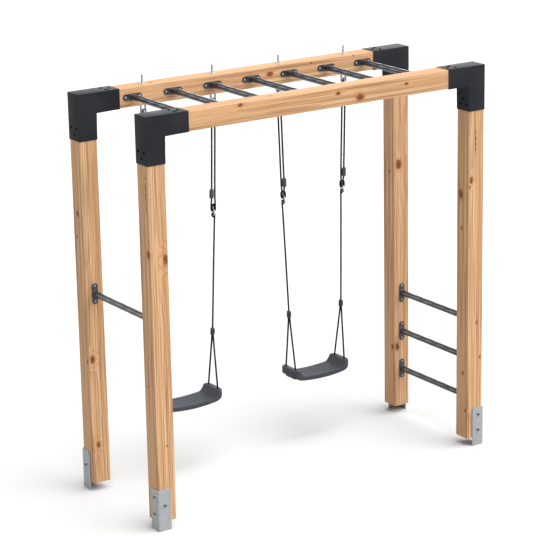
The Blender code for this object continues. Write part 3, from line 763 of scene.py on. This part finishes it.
def sleeve(row, y, side, sx):
    shell, arm, leg = elbow(sx, y, 0.0, 0.0)
    keep = [edge for edge in shell.edges
            if not all(abs(v.co.x - arm) < 1e-5 for v in edge.verts)
            and not all(abs(v.co.z - leg) < 1e-5 for v in edge.verts)]
    bmesh.ops.bevel(shell, geom=keep, offset=0.0018, segments=3, affect='EDGES',
                    profile=0.5, clamp_overlap=True)
    inside = elbow(sx, y, WALL, 0.02)[0]
    node = "corner_sleeve_%s_%s" % (row, side)
    piece(node + "_shell", cut(shell, inside), POWDER, "frame", (node,), 30)
    screws = bmesh.new()
    for seat, out in sleeve_screws(sx, y):
        star_screw(screws, facing(out, seat), *SLEEVE_HEAD)
    piece("sleeve_screws_%s_%s" % (row, side), screws, BLACK_SCREW, "frame", (), 40)


for row, y in zip(ROWS, (BEAM_F.y, BEAM_R.y)):
    for side, sx in SIDES:
        sleeve(row, y, side, sx)


# ---- angle feet
FOOT = 0.075  # width of each side of the angle
THICK = 0.005
TALL = 0.2263
CHAMFER = (0.012, 0.034)  # width and height of the corner taken off the angle's top
SMALL_CHAMFER = (0.004, 0.006)
FOOT_SCREWS = (0.0931, 0.186, 0.140)  # heights: two on one side, one on the other
FOOT_FLATS = 0.0150
FEET = (("front", "left", -1, -1, 0), ("front", "right", 1, -1, 1),
        ("rear", "right", 1, 1, 2), ("rear", "left", -1, 1, 3))  # last: quarter turns


def foot_screws(place, row, side):
    """Three hex heads on plain washers: two on one side of the angle and one on the other. The
    heads take a darker zinc than the washers, as painted shade.
    """
    screws = bmesh.new()
    washers = bmesh.new()
    washer = [(0.0094, -0.0002), (0.0108, 0.0003), (0.0106, 0.0010), (0.0076, 0.0014)]
    along = FOOT / 2 - 0.0005
    low, high, single = FOOT_SCREWS
    for seat, out in (((0, along, low), (-1, 0, 0)), ((0, along, high), (-1, 0, 0)),
                      ((along, 0, single), (0, -1, 0))):
        spot = place @ facing(out, seat)
        lathe(washers, washer, 32, spot)
        hex_body(screws, spot, FOOT_FLATS, 0.0012, 0.0085)
    ends = "%s_%s" % (row, side)
    # Painted shade: the heads take a darker zinc than their bright zinc washers.
    piece("foot_screws_" + ends, screws, PAINTED_SHADE_ZINC, "frame", (), 30)
    piece("foot_washers_" + ends, washers, BRIGHT, "frame", (), 30)


def foot(row, side, sx, sy, quarter):
    half = TIMBER / 2 + GAP + THICK
    place = (Matrix.Translation((sx * POST_X, sy * POST_Y + SHIFT_Y, 0))
             @ Matrix.Rotation(quarter * math.pi / 2, 4, 'Z')
             @ Matrix.Translation((-half, -half, 0)))
    section = [(0, 0), (FOOT, 0), (FOOT, THICK), (THICK, THICK), (THICK, FOOT), (0, FOOT)]
    bm = bmesh.new()
    prism(bm, rounded(section, 0.0016, 3, skip=(3,)), 0, TALL, place, 0.0004)
    wedges = bmesh.new()
    shape = SMALL_CHAMFER if (row, side) == ("front", "left") else CHAMFER
    for (wide, fall), turn in (((0.006, 0.010), CYCLE_XYZ), (shape, SWAP_YZ)):
        outline = [(FOOT - wide, TALL + 0.001), (FOOT + 0.001, TALL - fall),
                   (FOOT + 0.001, TALL + 0.001)]
        stacked(wedges, ((outline, -0.002), (outline, THICK + 0.002)), place @ turn)
    node = "angle_foot_%s_%s" % (row, side)
    piece(node + "_angle", cut(bm, wedges), GALVANISED, "frame", (node,), 30)
    foot_screws(place, row, side)


for corner in FEET:
    foot(*corner)


# ---- rungs
RUNG_R = 0.017
RIB_DEPTH = 0.0005
PLATE_T = 0.004
PLATE = (0.115, 0.035)  # length and width
PLATE_SCREW = 0.043  # from the middle of a plate
RUNG_HEAD = (0.0062, 0.0034)
RIBS = 10
RIB_TWIST = 2 * math.pi / 1.1  # one turn in 1.1 m


def rung_tube(reach):
    """Grip tube along Y: ribs that wind slowly round it, fading out before each plate."""
    bm = bmesh.new()
    steps, rib_sides = 84, 6
    sides = RIBS * rib_sides
    rows = []
    for i in range(steps + 1):
        y = -reach + 2 * reach * i / steps
        fade = ramp(reach - abs(y), 0.030, 0.008)
        ring = []
        for k in range(sides):
            angle = 2 * math.pi * k / sides + y * RIB_TWIST
            crest = 0.5 + 0.5 * math.cos(2 * math.pi * k / rib_sides)
            size = RUNG_R - RIB_DEPTH * fade * (1 - crest ** 0.7)
            ring.append(bm.verts.new((size * math.cos(angle), y, size * math.sin(angle))))
        rows.append(ring)
    closed(bm, rows)
    return bm


def stadium(length, width, steps):
    radius = width / 2
    reach = length / 2 - radius
    points = []
    for side, start in ((1, -90), (-1, 90)):
        for i in range(steps + 1):
            angle = math.radians(start + 180 * i / steps)
            points.append((side * reach + radius * math.cos(angle), radius * math.sin(angle)))
    return points


def rung_meshes():
    """Tube, end plates with their weld beads, and screws of one rung about its middle."""
    reach = POST_Y - TIMBER / 2 - GAP
    tube = rung_tube(reach - PLATE_T + 0.0005)
    plates = bmesh.new()
    screws = bmesh.new()
    bead = [(RUNG_R + wide, PLATE_T + high) for wide, high in (
        (-0.001, -0.0005), (0.0028, -0.0005), (0.0022, 0.0012), (0.0006, 0.0026),
        (-0.001, 0.0030))]

    def ripple(angle, radius, row):
        return radius + (0.00035 * math.sin(26 * angle) if row in (1, 2, 3) else 0.0)
    for end in (-1, 1):
        inwards = (0, -end, 0)
        out = facing(inwards, (0, end * reach, 0))
        prism(plates, stadium(*PLATE, 12), 0, PLATE_T, out, 0.0008)
        lathe(plates, bead, 96, out, hollow=True, shape=ripple)
        for side in (-1, 1):
            seat = (side * PLATE_SCREW, end * (reach - PLATE_T), 0)
            star_screw(screws, facing(inwards, seat), *RUNG_HEAD)
    return tube, plates, screws


def rungs():
    tube, plates, screws = rung_meshes()
    parts = (("tube", mesh_of("rung_tube", tube, COAT, 50), "anthracite_steel"),
             ("plates", mesh_of("rung_plates", plates, COAT, 35), "anthracite_steel"),
             ("screws", mesh_of("rung_screws", screws, DULL, 40), "zinc_hardware"))
    names = ["monkey_rung_%d" % i for i in range(1, 8)]
    names += ["tumble_bar_left", "ladder_rung_low", "ladder_rung_middle", "ladder_rung_high"]
    for node in names:
        low, high = corners(node)
        place = Matrix.Translation(middle(node))
        if high.z - low.z > 2 * PLATE[1]:  # its plates stand upright
            place = place @ ALONG_X
        for label, mesh, slot in parts:
            copy = mesh.copy()
            copy.transform(place)
            nodes = (node,) if label == "tube" else ()
            set_piece("%s_%s" % (node, label), copy, "frame", nodes)


rungs()


# ---- swing hangers
CHEEK = 0.016  # half the stirrup's outer width
STRAP = 0.0045  # thickness
STIRRUP_HALF = 0.008
BEND = 0.0055
ROD_R = 0.0062
ROD_TOP = 0.199  # above the pin
NUT_FLATS = 0.0168
PITCH = 0.0015
THREAD = 0.0007  # depth of the thread


def threaded(bm, frame, low, high):
    """Rod with a real helical thread, tapered at its very top."""
    steps = int((high - low) / (PITCH / 4))
    profile = [(ROD_R, low + (high - low) * i / steps) for i in range(steps + 1)]

    def thread(angle, size, row):
        z = profile[row][1]
        ease = min(1.0, (high - z) / 0.0012)
        phase = (z / PITCH - angle / (2 * math.pi)) % 1.0
        return size * (0.86 + 0.14 * ease) - THREAD * abs(2 * phase - 1)
    lathe(bm, profile, 24, frame, shape=thread)


def strap(bm, path, frame):
    """Flat strap bent along a path of (x, z, half width), with eased edges."""
    thick, ease = STRAP / 2, 0.0006
    rows = []
    for i, (x, z, wide) in enumerate(path):
        before = path[max(i - 1, 0)]
        after = path[min(i + 1, len(path) - 1)]
        along = Vector((after[0] - before[0], after[1] - before[1])).normalized()
        side = Vector((-along.y, along.x))
        soft = min(ease, wide * 0.4)
        section = [(thick, wide - soft), (thick - ease, wide), (ease - thick, wide),
                   (-thick, wide - soft), (-thick, soft - wide), (ease - thick, -wide),
                   (thick - ease, -wide), (thick, soft - wide)]
        rows.append([bm.verts.new(frame @ Vector((x + side.x * u, v, z + side.y * u)))
                     for u, v in section])
    closed(bm, rows)


def stirrup_path(top):
    """Stirrup as (x, z, half width): rounded at each pin and bent over at the top."""
    leg = STRAP / 2 - CHEEK
    half = []
    for k in range(8):
        angle = math.radians(8 + 82 * k / 7)
        half.append((leg, -STIRRUP_HALF * math.cos(angle), STIRRUP_HALF * math.sin(angle)))
    half.append((leg, top * 0.45, STIRRUP_HALF))
    crown = top - STRAP / 2 - BEND
    for k in range(7):
        angle = math.radians(180 - 90 * k / 6)
        half.append((leg + BEND + BEND * math.cos(angle), crown + BEND * math.sin(angle),
                     STIRRUP_HALF))
    return half + [(-x, z, wide) for x, z, wide in reversed(half)]


def hanger(number, x):
    """Stirrup with its pin and threaded rod, and the nut on top of the beam."""
    place = Matrix.Translation((x, SWING_Y, PIN_Z))
    beam_top = BEAM_TOP - PIN_Z
    top = BEAM_TOP - TIMBER - GAP - PIN_Z
    rod_low = beam_top - 0.004
    node = "swing_hanger_%d" % number
    bm = bmesh.new()
    strap(bm, stirrup_path(top), place)
    threaded(bm, place, rod_low, ROD_TOP)
    lathe(bm, [(0.005, top - 0.003), (0.005, rod_low + 0.001)], 16, place)
    head = top - STRAP
    lathe(bm, [(0.0066, head - 0.0004), (0.0066, head - 0.0022), (0.0045, head - 0.0030)],
          24, place)
    pin_end = [(0.0068, CHEEK - 0.0002), (0.0070, CHEEK + 0.0008), (0.0058, CHEEK + 0.0022),
               (0.0030, CHEEK + 0.0030)]
    for end in (-1, 1):
        lathe(bm, pin_end, 28, place @ Matrix.Rotation(end * math.pi / 2, 4, 'Y'))
    lathe(bm, [(0.004, -CHEEK + 0.001), (0.004, CHEEK - 0.001)], 20, place @ ALONG_X)
    piece(node + "_stirrup", bm, DULL, "frame", (node,), 35)

    seat = beam_top + 0.0002
    washer = [(0.0064, 0.0), (0.0147, 0.0), (0.0152, 0.0005), (0.0152, 0.0018),
              (0.0147, 0.0023), (0.0064, 0.0023)]
    nut = bmesh.new()
    lathe(nut, [(radius, seat + rise) for radius, rise in washer], 48, place, hollow=True)
    hex_body(nut, place, NUT_FLATS, seat + 0.0024, seat + 0.0106, bore=ROD_R)
    node = "hanger_nut_%d" % number
    piece(node + "_hex", nut, BRIGHT, "frame", (node,), 30)


HOOKS = [centre * SWING_X + side * HOOK_HALF for centre in (-1, 1) for side in (-1, 1)]
for number, hook_x in enumerate(HOOKS, start=1):
    hanger(number, hook_x)


# ---- swing ropes
TILT = math.atan2(HOOK_HALF - HOLE_X, PIN_Z - BAR_DROP - LUG_TOP)


def upper_path(block_side, block_z):
    """Loop over the hanger link and twice round the ring, ends meeting in the adjuster."""
    s = block_side * STRAND
    low, high = -0.536, -0.5175  # middles of the bends under and over the ring's bar
    turn_y = 0.005

    def bend(middle_z, start, stop, steps, sways):
        points = arc((0, 0, middle_z), STRAND, start, stop, steps)
        return [Vector((block_side * p.x, y, p.z)) for p, y in zip(points, sways)]

    path = [Vector((s, 0, block_z - 0.0005)), Vector((s, 0, block_z - 0.030)),
            Vector((s, turn_y, -0.503))]
    path += bend(low, 0, -180, 8, [turn_y] * 9)
    path += bend(high, 180, 0, 4, (turn_y, turn_y * 0.9, 0.0, -turn_y * 0.9, -turn_y))
    path += bend(low, 0, -180, 8, [-turn_y] * 9)
    path += [Vector((-s, -turn_y, -0.503)), Vector((-s, 0, -0.482)), Vector((-s, 0, -0.25))]
    path += bend(0, 180, 0, 10, [0] * 11)
    return path + [Vector((s, 0, -0.25)), Vector((s, 0, block_z + 0.0005))]


def standing_path(hand, drop):
    """Single rope from the knot up to the ring and over its bar."""
    path = [(-LEAN, -drop + 0.004), (-LEAN * 0.9, -drop + 0.050), (0.0062, -0.060),
            (EYE_BEND, -0.014)]
    path += [(p.x, p.z) for p in arc((0, 0, 0), EYE_BEND, 0, 200, 12)]
    return [Vector((hand * x, 0, z)) for x, z in path]


def tail_path(hand):
    """End of the rope: it closes the eye under the bar and is sewn to the standing rope."""
    path = [(p.x, p.z) for p in arc((0, 0, 0), EYE_BEND, 185, 262, 6)]
    path += [(0.0050, -0.0125), (0.0078, -0.0200)]
    return [Vector((hand * x, 0, z)) for x, z in path]


def seat_loop_path(side, centre, top, drop, hand):
    """Below the knot: down through the seat, under its lug and back up to the knot."""
    hole = centre + side * HOLE_X
    floor = CHANNEL_TOP - ROPE_R
    run = [Vector((hole, SWING_Y + y, z)) for y, z in (
        (-HOLE_Y + 0.001, LUG_TOP + 0.004), (-HOLE_Y, LUG_TOP - 0.006),
        (-HOLE_Y, floor + 0.0045), (-HOLE_Y + 0.0025, floor + 0.001), (-HOLE_Y + 0.007, floor))]
    back = [Vector((p.x, 2 * SWING_Y - p.y, p.z)) for p in reversed(run)]
    ends = [[top @ Vector((-hand * LEAN, sy * PAIR, -drop - low)) for low in (-0.004, 0.0235)]
            for sy in (-1, 1)]
    return ends[0] + run + back + list(reversed(ends[1]))


def knot(bm, frame):
    """Barrel knot: wraps laid side by side round both legs, ends tucked in."""
    steps, turns, tall = 90, 4.5, 0.0365
    points = []
    for i in range(steps + 1):
        t = i / steps
        angle = 2 * math.pi * turns * t + 0.6
        size = 0.45 + 0.55 * min(min(t, 1 - t) / 0.05, 1.0)
        points.append(frame @ Vector((0.0098 * size * math.cos(angle),
                                      0.0094 * size * math.sin(angle), (t - 0.5) * tall)))
    rope(bm, points, 0.0043, 0.0024, 1)
    lathe(bm, [(0.004, -0.0215), (0.0088, -0.018), (0.0090, 0.018), (0.004, 0.0215)], 20, frame)


# ---- swing seat
RIB_PITCH = 0.0085
RIB_HEIGHT = 0.0008


def seat_levels(x, y):
    """Top and bottom of the seat at a place measured from its middle."""
    across = abs(x)
    low = SEAT_BOTTOM + 0.52 * x * x + 0.017 * max((across - 0.140) / 0.054, 0.0) ** 2
    base = SEAT_TOP + 0.008 * (min(across, 0.14) / 0.14) ** 2
    # Each end climbs to a lug with a slightly crowned top.
    crest = ramp(across, 0.146, 0.012)
    lift = ramp(across, 0.118, 0.038) ** 2.4 * (1 - 0.10 * (1 - crest))
    high = base + lift * (LUG_TOP - base) - 0.0012 * ((across - 0.176) / 0.018) ** 2 * crest
    # Ribs run along the part that is sat on.
    span = ramp(0.112 - across, 0.0, 0.010) * ramp(0.068 - abs(y), 0.0, 0.004)
    wave = 0.5 + 0.5 * math.cos(2 * math.pi * y / RIB_PITCH)
    high += span * RIB_HEIGHT * (wave - 0.5)
    # Edges are rounded by how far the place lies inside the outline.
    qx = across - (SEAT_HALF[0] - SEAT_CORNER)
    qy = abs(y) - (SEAT_HALF[1] - SEAT_CORNER)
    inside = SEAT_CORNER - math.hypot(max(qx, 0), max(qy, 0)) - min(max(qx, qy), 0)
    fall = []
    for edge in (0.0045 + 0.0030 * crest, 0.008):
        reach = max(edge - max(inside, 0.0), 0.0)
        fall.append(edge - math.sqrt(max(edge ** 2 - reach ** 2, 0.0)))
    return high - fall[0], low + fall[1]


def seat_blank():
    """Closed seat made of a top and an underside, with no holes yet."""
    bm = bmesh.new()
    stations = [i / 64 for i in range(-64, 65)]
    xs = [SEAT_HALF[0] * (math.sin(t * math.pi / 2) * 0.35 + t * 0.65) for t in stations]
    lanes = [i / 84 * 0.90 for i in range(84)]
    lanes += [0.90, 0.93, 0.945, 0.96, 0.972, 0.982, 0.99, 0.996, 1.0]
    vs = [-v for v in reversed(lanes[1:])] + lanes
    top = []
    bottom = []
    for x in xs:
        over = max(abs(x) - (SEAT_HALF[0] - SEAT_CORNER), 0.0)
        width = SEAT_HALF[1] - SEAT_CORNER + math.sqrt(max(SEAT_CORNER ** 2 - over ** 2, 0.0))
        spots = [(width * v, seat_levels(x, width * v)) for v in vs]
        top.append([bm.verts.new((x, y, high)) for y, (high, _) in spots])
        bottom.append([bm.verts.new((x, y, low)) for y, (_, low) in spots])
    skin(bm, top, cyclic=False)
    skin(bm, bottom, cyclic=False)
    for i in range(len(xs) - 1):
        for j in (0, len(vs) - 1):
            bm.faces.new((top[i][j], bottom[i][j], bottom[i + 1][j], top[i + 1][j]))
    for j in range(len(vs) - 1):
        for i in (0, len(xs) - 1):
            bm.faces.new((top[i][j], top[i][j + 1], bottom[i][j + 1], bottom[i][j]))
    return bm


def seat_bmesh():
    """Seat with two flared holes through each lug and a slot that joins them underneath."""
    drills = bmesh.new()
    slots = bmesh.new()
    hole = [(0.006, 0.33), (0.006, LUG_TOP - 0.004), (0.0085, LUG_TOP + 0.001), (0.0085, 0.45)]
    wide = 0.0055
    outline = rounded([(-wide, -HOLE_Y), (wide, -HOLE_Y), (wide, HOLE_Y), (-wide, HOLE_Y)],
                      0.003, 4)
    for sx in (-1, 1):
        for sy in (-1, 1):
            lathe(drills, hole, 24, Matrix.Translation((sx * HOLE_X, sy * HOLE_Y, 0)))
        prism(slots, outline, 0.33, CHANNEL_TOP, Matrix.Translation((sx * HOLE_X, 0, 0)))
    return cut(cut(seat_blank(), drills), slots)


# ---- swings
def bushing(hook):
    """Nylon bush with a flange at each end."""
    bm = bmesh.new()
    half = [(0.0041, -0.011), (0.0092, -0.011), (0.0095, -0.0104), (0.0095, -0.0094),
            (0.0092, -0.0088), (0.0080, -0.0086)]
    profile = half + [(radius, -height) for radius, height in reversed(half)]
    lathe(bm, profile, 36, Matrix.Translation(hook) @ ALONG_X, hollow=True)
    return bm


def hanger_link(hook):
    """Long round-bar link with the swelling of its weld."""
    bend, bar = 0.0129, 0.00475
    points = []
    for low, start in ((0.0, 0), (bend - BAR_DROP, 180)):
        for i in range(17):
            angle = math.radians(start + 180 * i / 16)
            points.append(hook + Vector((0, bend * math.cos(angle), low + bend * math.sin(angle))))
    bm = bmesh.new()
    sweep(bm, resampled(points, 0.0024, True), [bar] * 18, cyclic=True)
    weld = [(0.0040, -0.0030), (0.0053, -0.0018), (0.0056, 0), (0.0053, 0.0018),
            (0.0040, 0.0030)]
    lathe(bm, weld, 20, Matrix.Translation(hook + Vector((0, bend, -0.027))))
    return bm


def link_ring(ring):
    turns = []
    for i in range(40):
        angle = 2 * math.pi * i / 40
        turns.append(ring + RING_R * Vector((0, math.cos(angle), math.sin(angle))))
    bm = bmesh.new()
    sweep(bm, turns, [RING_BAR] * 16, cyclic=True)
    return bm


def swing_side(label, sign, name, side):
    """One side of a swing, from its hanger pin down to the seat."""
    centre = sign * SWING_X
    hook = Vector((centre + side * HOOK_HALF, SWING_Y, PIN_Z))
    bar = hook - Vector((0, 0, BAR_DROP))
    ring = bar + Vector((-side * math.sin(TILT), 0, -math.cos(TILT))) * RING_DROP
    lean = Matrix.Rotation(side * TILT, 4, 'Y')
    hang = Matrix.Translation(bar) @ lean
    top = Matrix.Translation(ring - Vector((0, 0, RING_R))) @ lean
    block_z = ADJUSTER_Z[label] - bar.z
    drop = ring.z - RING_R - KNOT_Z
    hand = -sign

    def put(part, kind, bm, material, body, angle):
        node = "swing_%s_%s_%s" % (label, part, name)
        piece("%s_%s" % (node, kind), bm, material, "swing_%s_%s" % (label, body),
              (node,), angle)

    put("bush", "flanged", bushing(hook), NYLON, "upper", 35)
    put("hanger_link", "welded", hanger_link(hook), BRIGHT, "upper", 40)
    bm = bmesh.new()
    rope(bm, [hang @ p for p in upper_path(sign, block_z)])
    put("upper_rope", "laid", bm, ROPE, "upper", 60)
    block = adjuster(sign, block_z)
    bmesh.ops.transform(block, matrix=hang, verts=block.verts)
    put("rope_adjuster", "block", block, BLOCK, "upper", 35)
    put("link_ring", "round", link_ring(ring), BRIGHT, "upper", 40)

    bm = bmesh.new()
    rope(bm, seat_loop_path(side, centre, top, drop, hand))
    rope(bm, [top @ p for p in standing_path(hand, drop)])
    rope(bm, [top @ p for p in tail_path(hand)], ROPE_R * 0.96)
    put("lower_rope", "laid", bm, ROPE, "lower", 60)
    bm = bmesh.new()
    knot(bm, top @ Matrix.Translation((-hand * LEAN, 0, -drop)))
    piece("swing_%s_rope_knot_%s" % (label, name), bm, KNOT, "swing_%s_lower" % label,
          (), 60)


def swing(label, sign, seat_mesh):
    for name, side in SIDES:
        swing_side(label, sign, name, side)
    mesh = seat_mesh.copy()
    mesh.transform(Matrix.Translation((sign * SWING_X, SWING_Y, 0)))
    node = "swing_%s_seat" % label
    set_piece(node + "_moulded", mesh, "swing_%s_lower" % label, (node,))


def adjuster(sign, z):
    """Oval plastic block with a diamond grip that clamps one strand of the rope loop."""
    wide, deep, tall = 0.027, 0.017, 0.053
    half, radius, shoulder = tall / 2, wide / 2, 0.010
    levels = 24
    oval = (Matrix.Translation((sign * (STRAND + 0.001), 0, z))
            @ Matrix.Diagonal((1.0, deep / wide, 1.0, 1.0)))
    foot_end = [(0.0075, -half), (0.0092, -half + 0.0006), (0.0108, -half + 0.0020),
                (0.0122, -half + 0.0045), (0.0131, -half + 0.0080)]
    profile = list(foot_end)
    for i in range(levels + 1):
        profile.append((radius, (-0.5 + i / levels) * (tall - 2 * shoulder)))
    profile += [(size, -height) for size, height in reversed(foot_end)]

    def grip(angle, size, row):
        if size < radius:
            return size
        level = (row - len(foot_end)) / levels * 7 * math.pi
        turn = angle * 11
        groove = abs(math.sin(turn + level)) * abs(math.sin(turn - level)) < 0.18
        return size - 0.0009 * groove
    bm = bmesh.new()
    lathe(bm, profile, 88, oval, shape=grip)
    drill = bmesh.new()
    lathe(drill, [(0.0046, z - 0.05), (0.0046, z + 0.05)], 24,
          Matrix.Translation((sign * STRAND, 0, 0)))
    return cut(bm, drill)


SEAT_MESH = mesh_of("seat", seat_bmesh(), SEAT, 45)
for label, sign in SIDES:
    swing(label, sign, SEAT_MESH)


# ---- stage, light and camera
def stage():
    """Floor, surroundings and one broad lamp high up in front."""
    floor = bmesh.new()
    bmesh.ops.create_grid(floor, x_segments=2, y_segments=2, size=60)
    mesh = bpy.data.meshes.new("floor")
    floor.to_mesh(mesh)
    floor.free()
    mesh.materials.append(Shade("studio_floor", (0.46, 0.46, 0.46, 1.0), 0.0, 0.9, 0.0).material)
    add("studio_floor", mesh)
    studio()

    lamp = bpy.data.lights.new("key", 'SUN')
    lamp.energy = 7.9
    lamp.angle = math.radians(80)
    toward = Vector((0.25, -0.42, 0.885))
    add("key", lamp).rotation_euler = toward.to_track_quat('Z', 'Y').to_euler()


def studio():
    """Surroundings: a pale band round the horizon and two soft panels at the back."""
    world = bpy.data.worlds.new("studio")
    world.use_nodes = True
    sky = Nodes(world.node_tree)
    toward = sky.node("ShaderNodeTexCoord")["Generated"]
    split = sky.node("ShaderNodeSeparateXYZ", {0: toward})
    band = sky.spread(split["Z"], 0.25, 0.60, 1.0, 0.0, smooth=True)
    depth = sky.spread(split["Y"], -1.0, 1.0, 0.5, 1.15)
    light = sky.math('ADD', sky.math('MULTIPLY', band, depth), 0.10)
    for x, power in ((-0.53, 3.0), (0.53, 2.0)):
        near = sky.vector('DOT_PRODUCT', toward, Vector((x, 0.78, 0.33)).normalized())
        glow = sky.spread(near, 0.955, 0.985, 0.0, power, smooth=True)
        light = sky.math('ADD', light, glow)
    background = sky.tree.nodes["Background"]
    background.inputs["Color"].default_value = (1.0, 1.0, 1.0, 1.0)
    sky.tree.links.new(light, background.inputs["Strength"])
    bpy.context.scene.world = world


def camera():
    """Camera where the photograph was taken from, with its lens and its turn."""
    azimuth, elevation, roll = (math.radians(v) for v in (34.42509, 16.13411, -0.892976))
    level = Vector((math.sin(azimuth), math.cos(azimuth), 0))
    ahead = level * math.cos(elevation) - Vector((0, 0, math.sin(elevation)))
    right = ahead.cross(Vector((0, 0, 1))).normalized()
    up = right.cross(ahead)
    across = math.cos(roll) * right + math.sin(roll) * up
    above = -math.sin(roll) * right + math.cos(roll) * up
    lens = bpy.data.cameras.new("camera")
    lens.sensor_width = 36.0
    lens.lens = 144.2003
    lens.shift_x = -0.037634
    lens.shift_y = -0.034050
    lens.clip_end = 200.0
    made = add("camera", lens)
    turn = Matrix((across, above, -ahead)).transposed().to_4x4()
    made.matrix_world = Matrix.Translation((-6.5225, -9.6704 + SHIFT_Y, 4.5598)) @ turn
    bpy.context.scene.camera = made


stage()
camera()
bpy.context.scene.view_settings.view_transform = 'Standard'
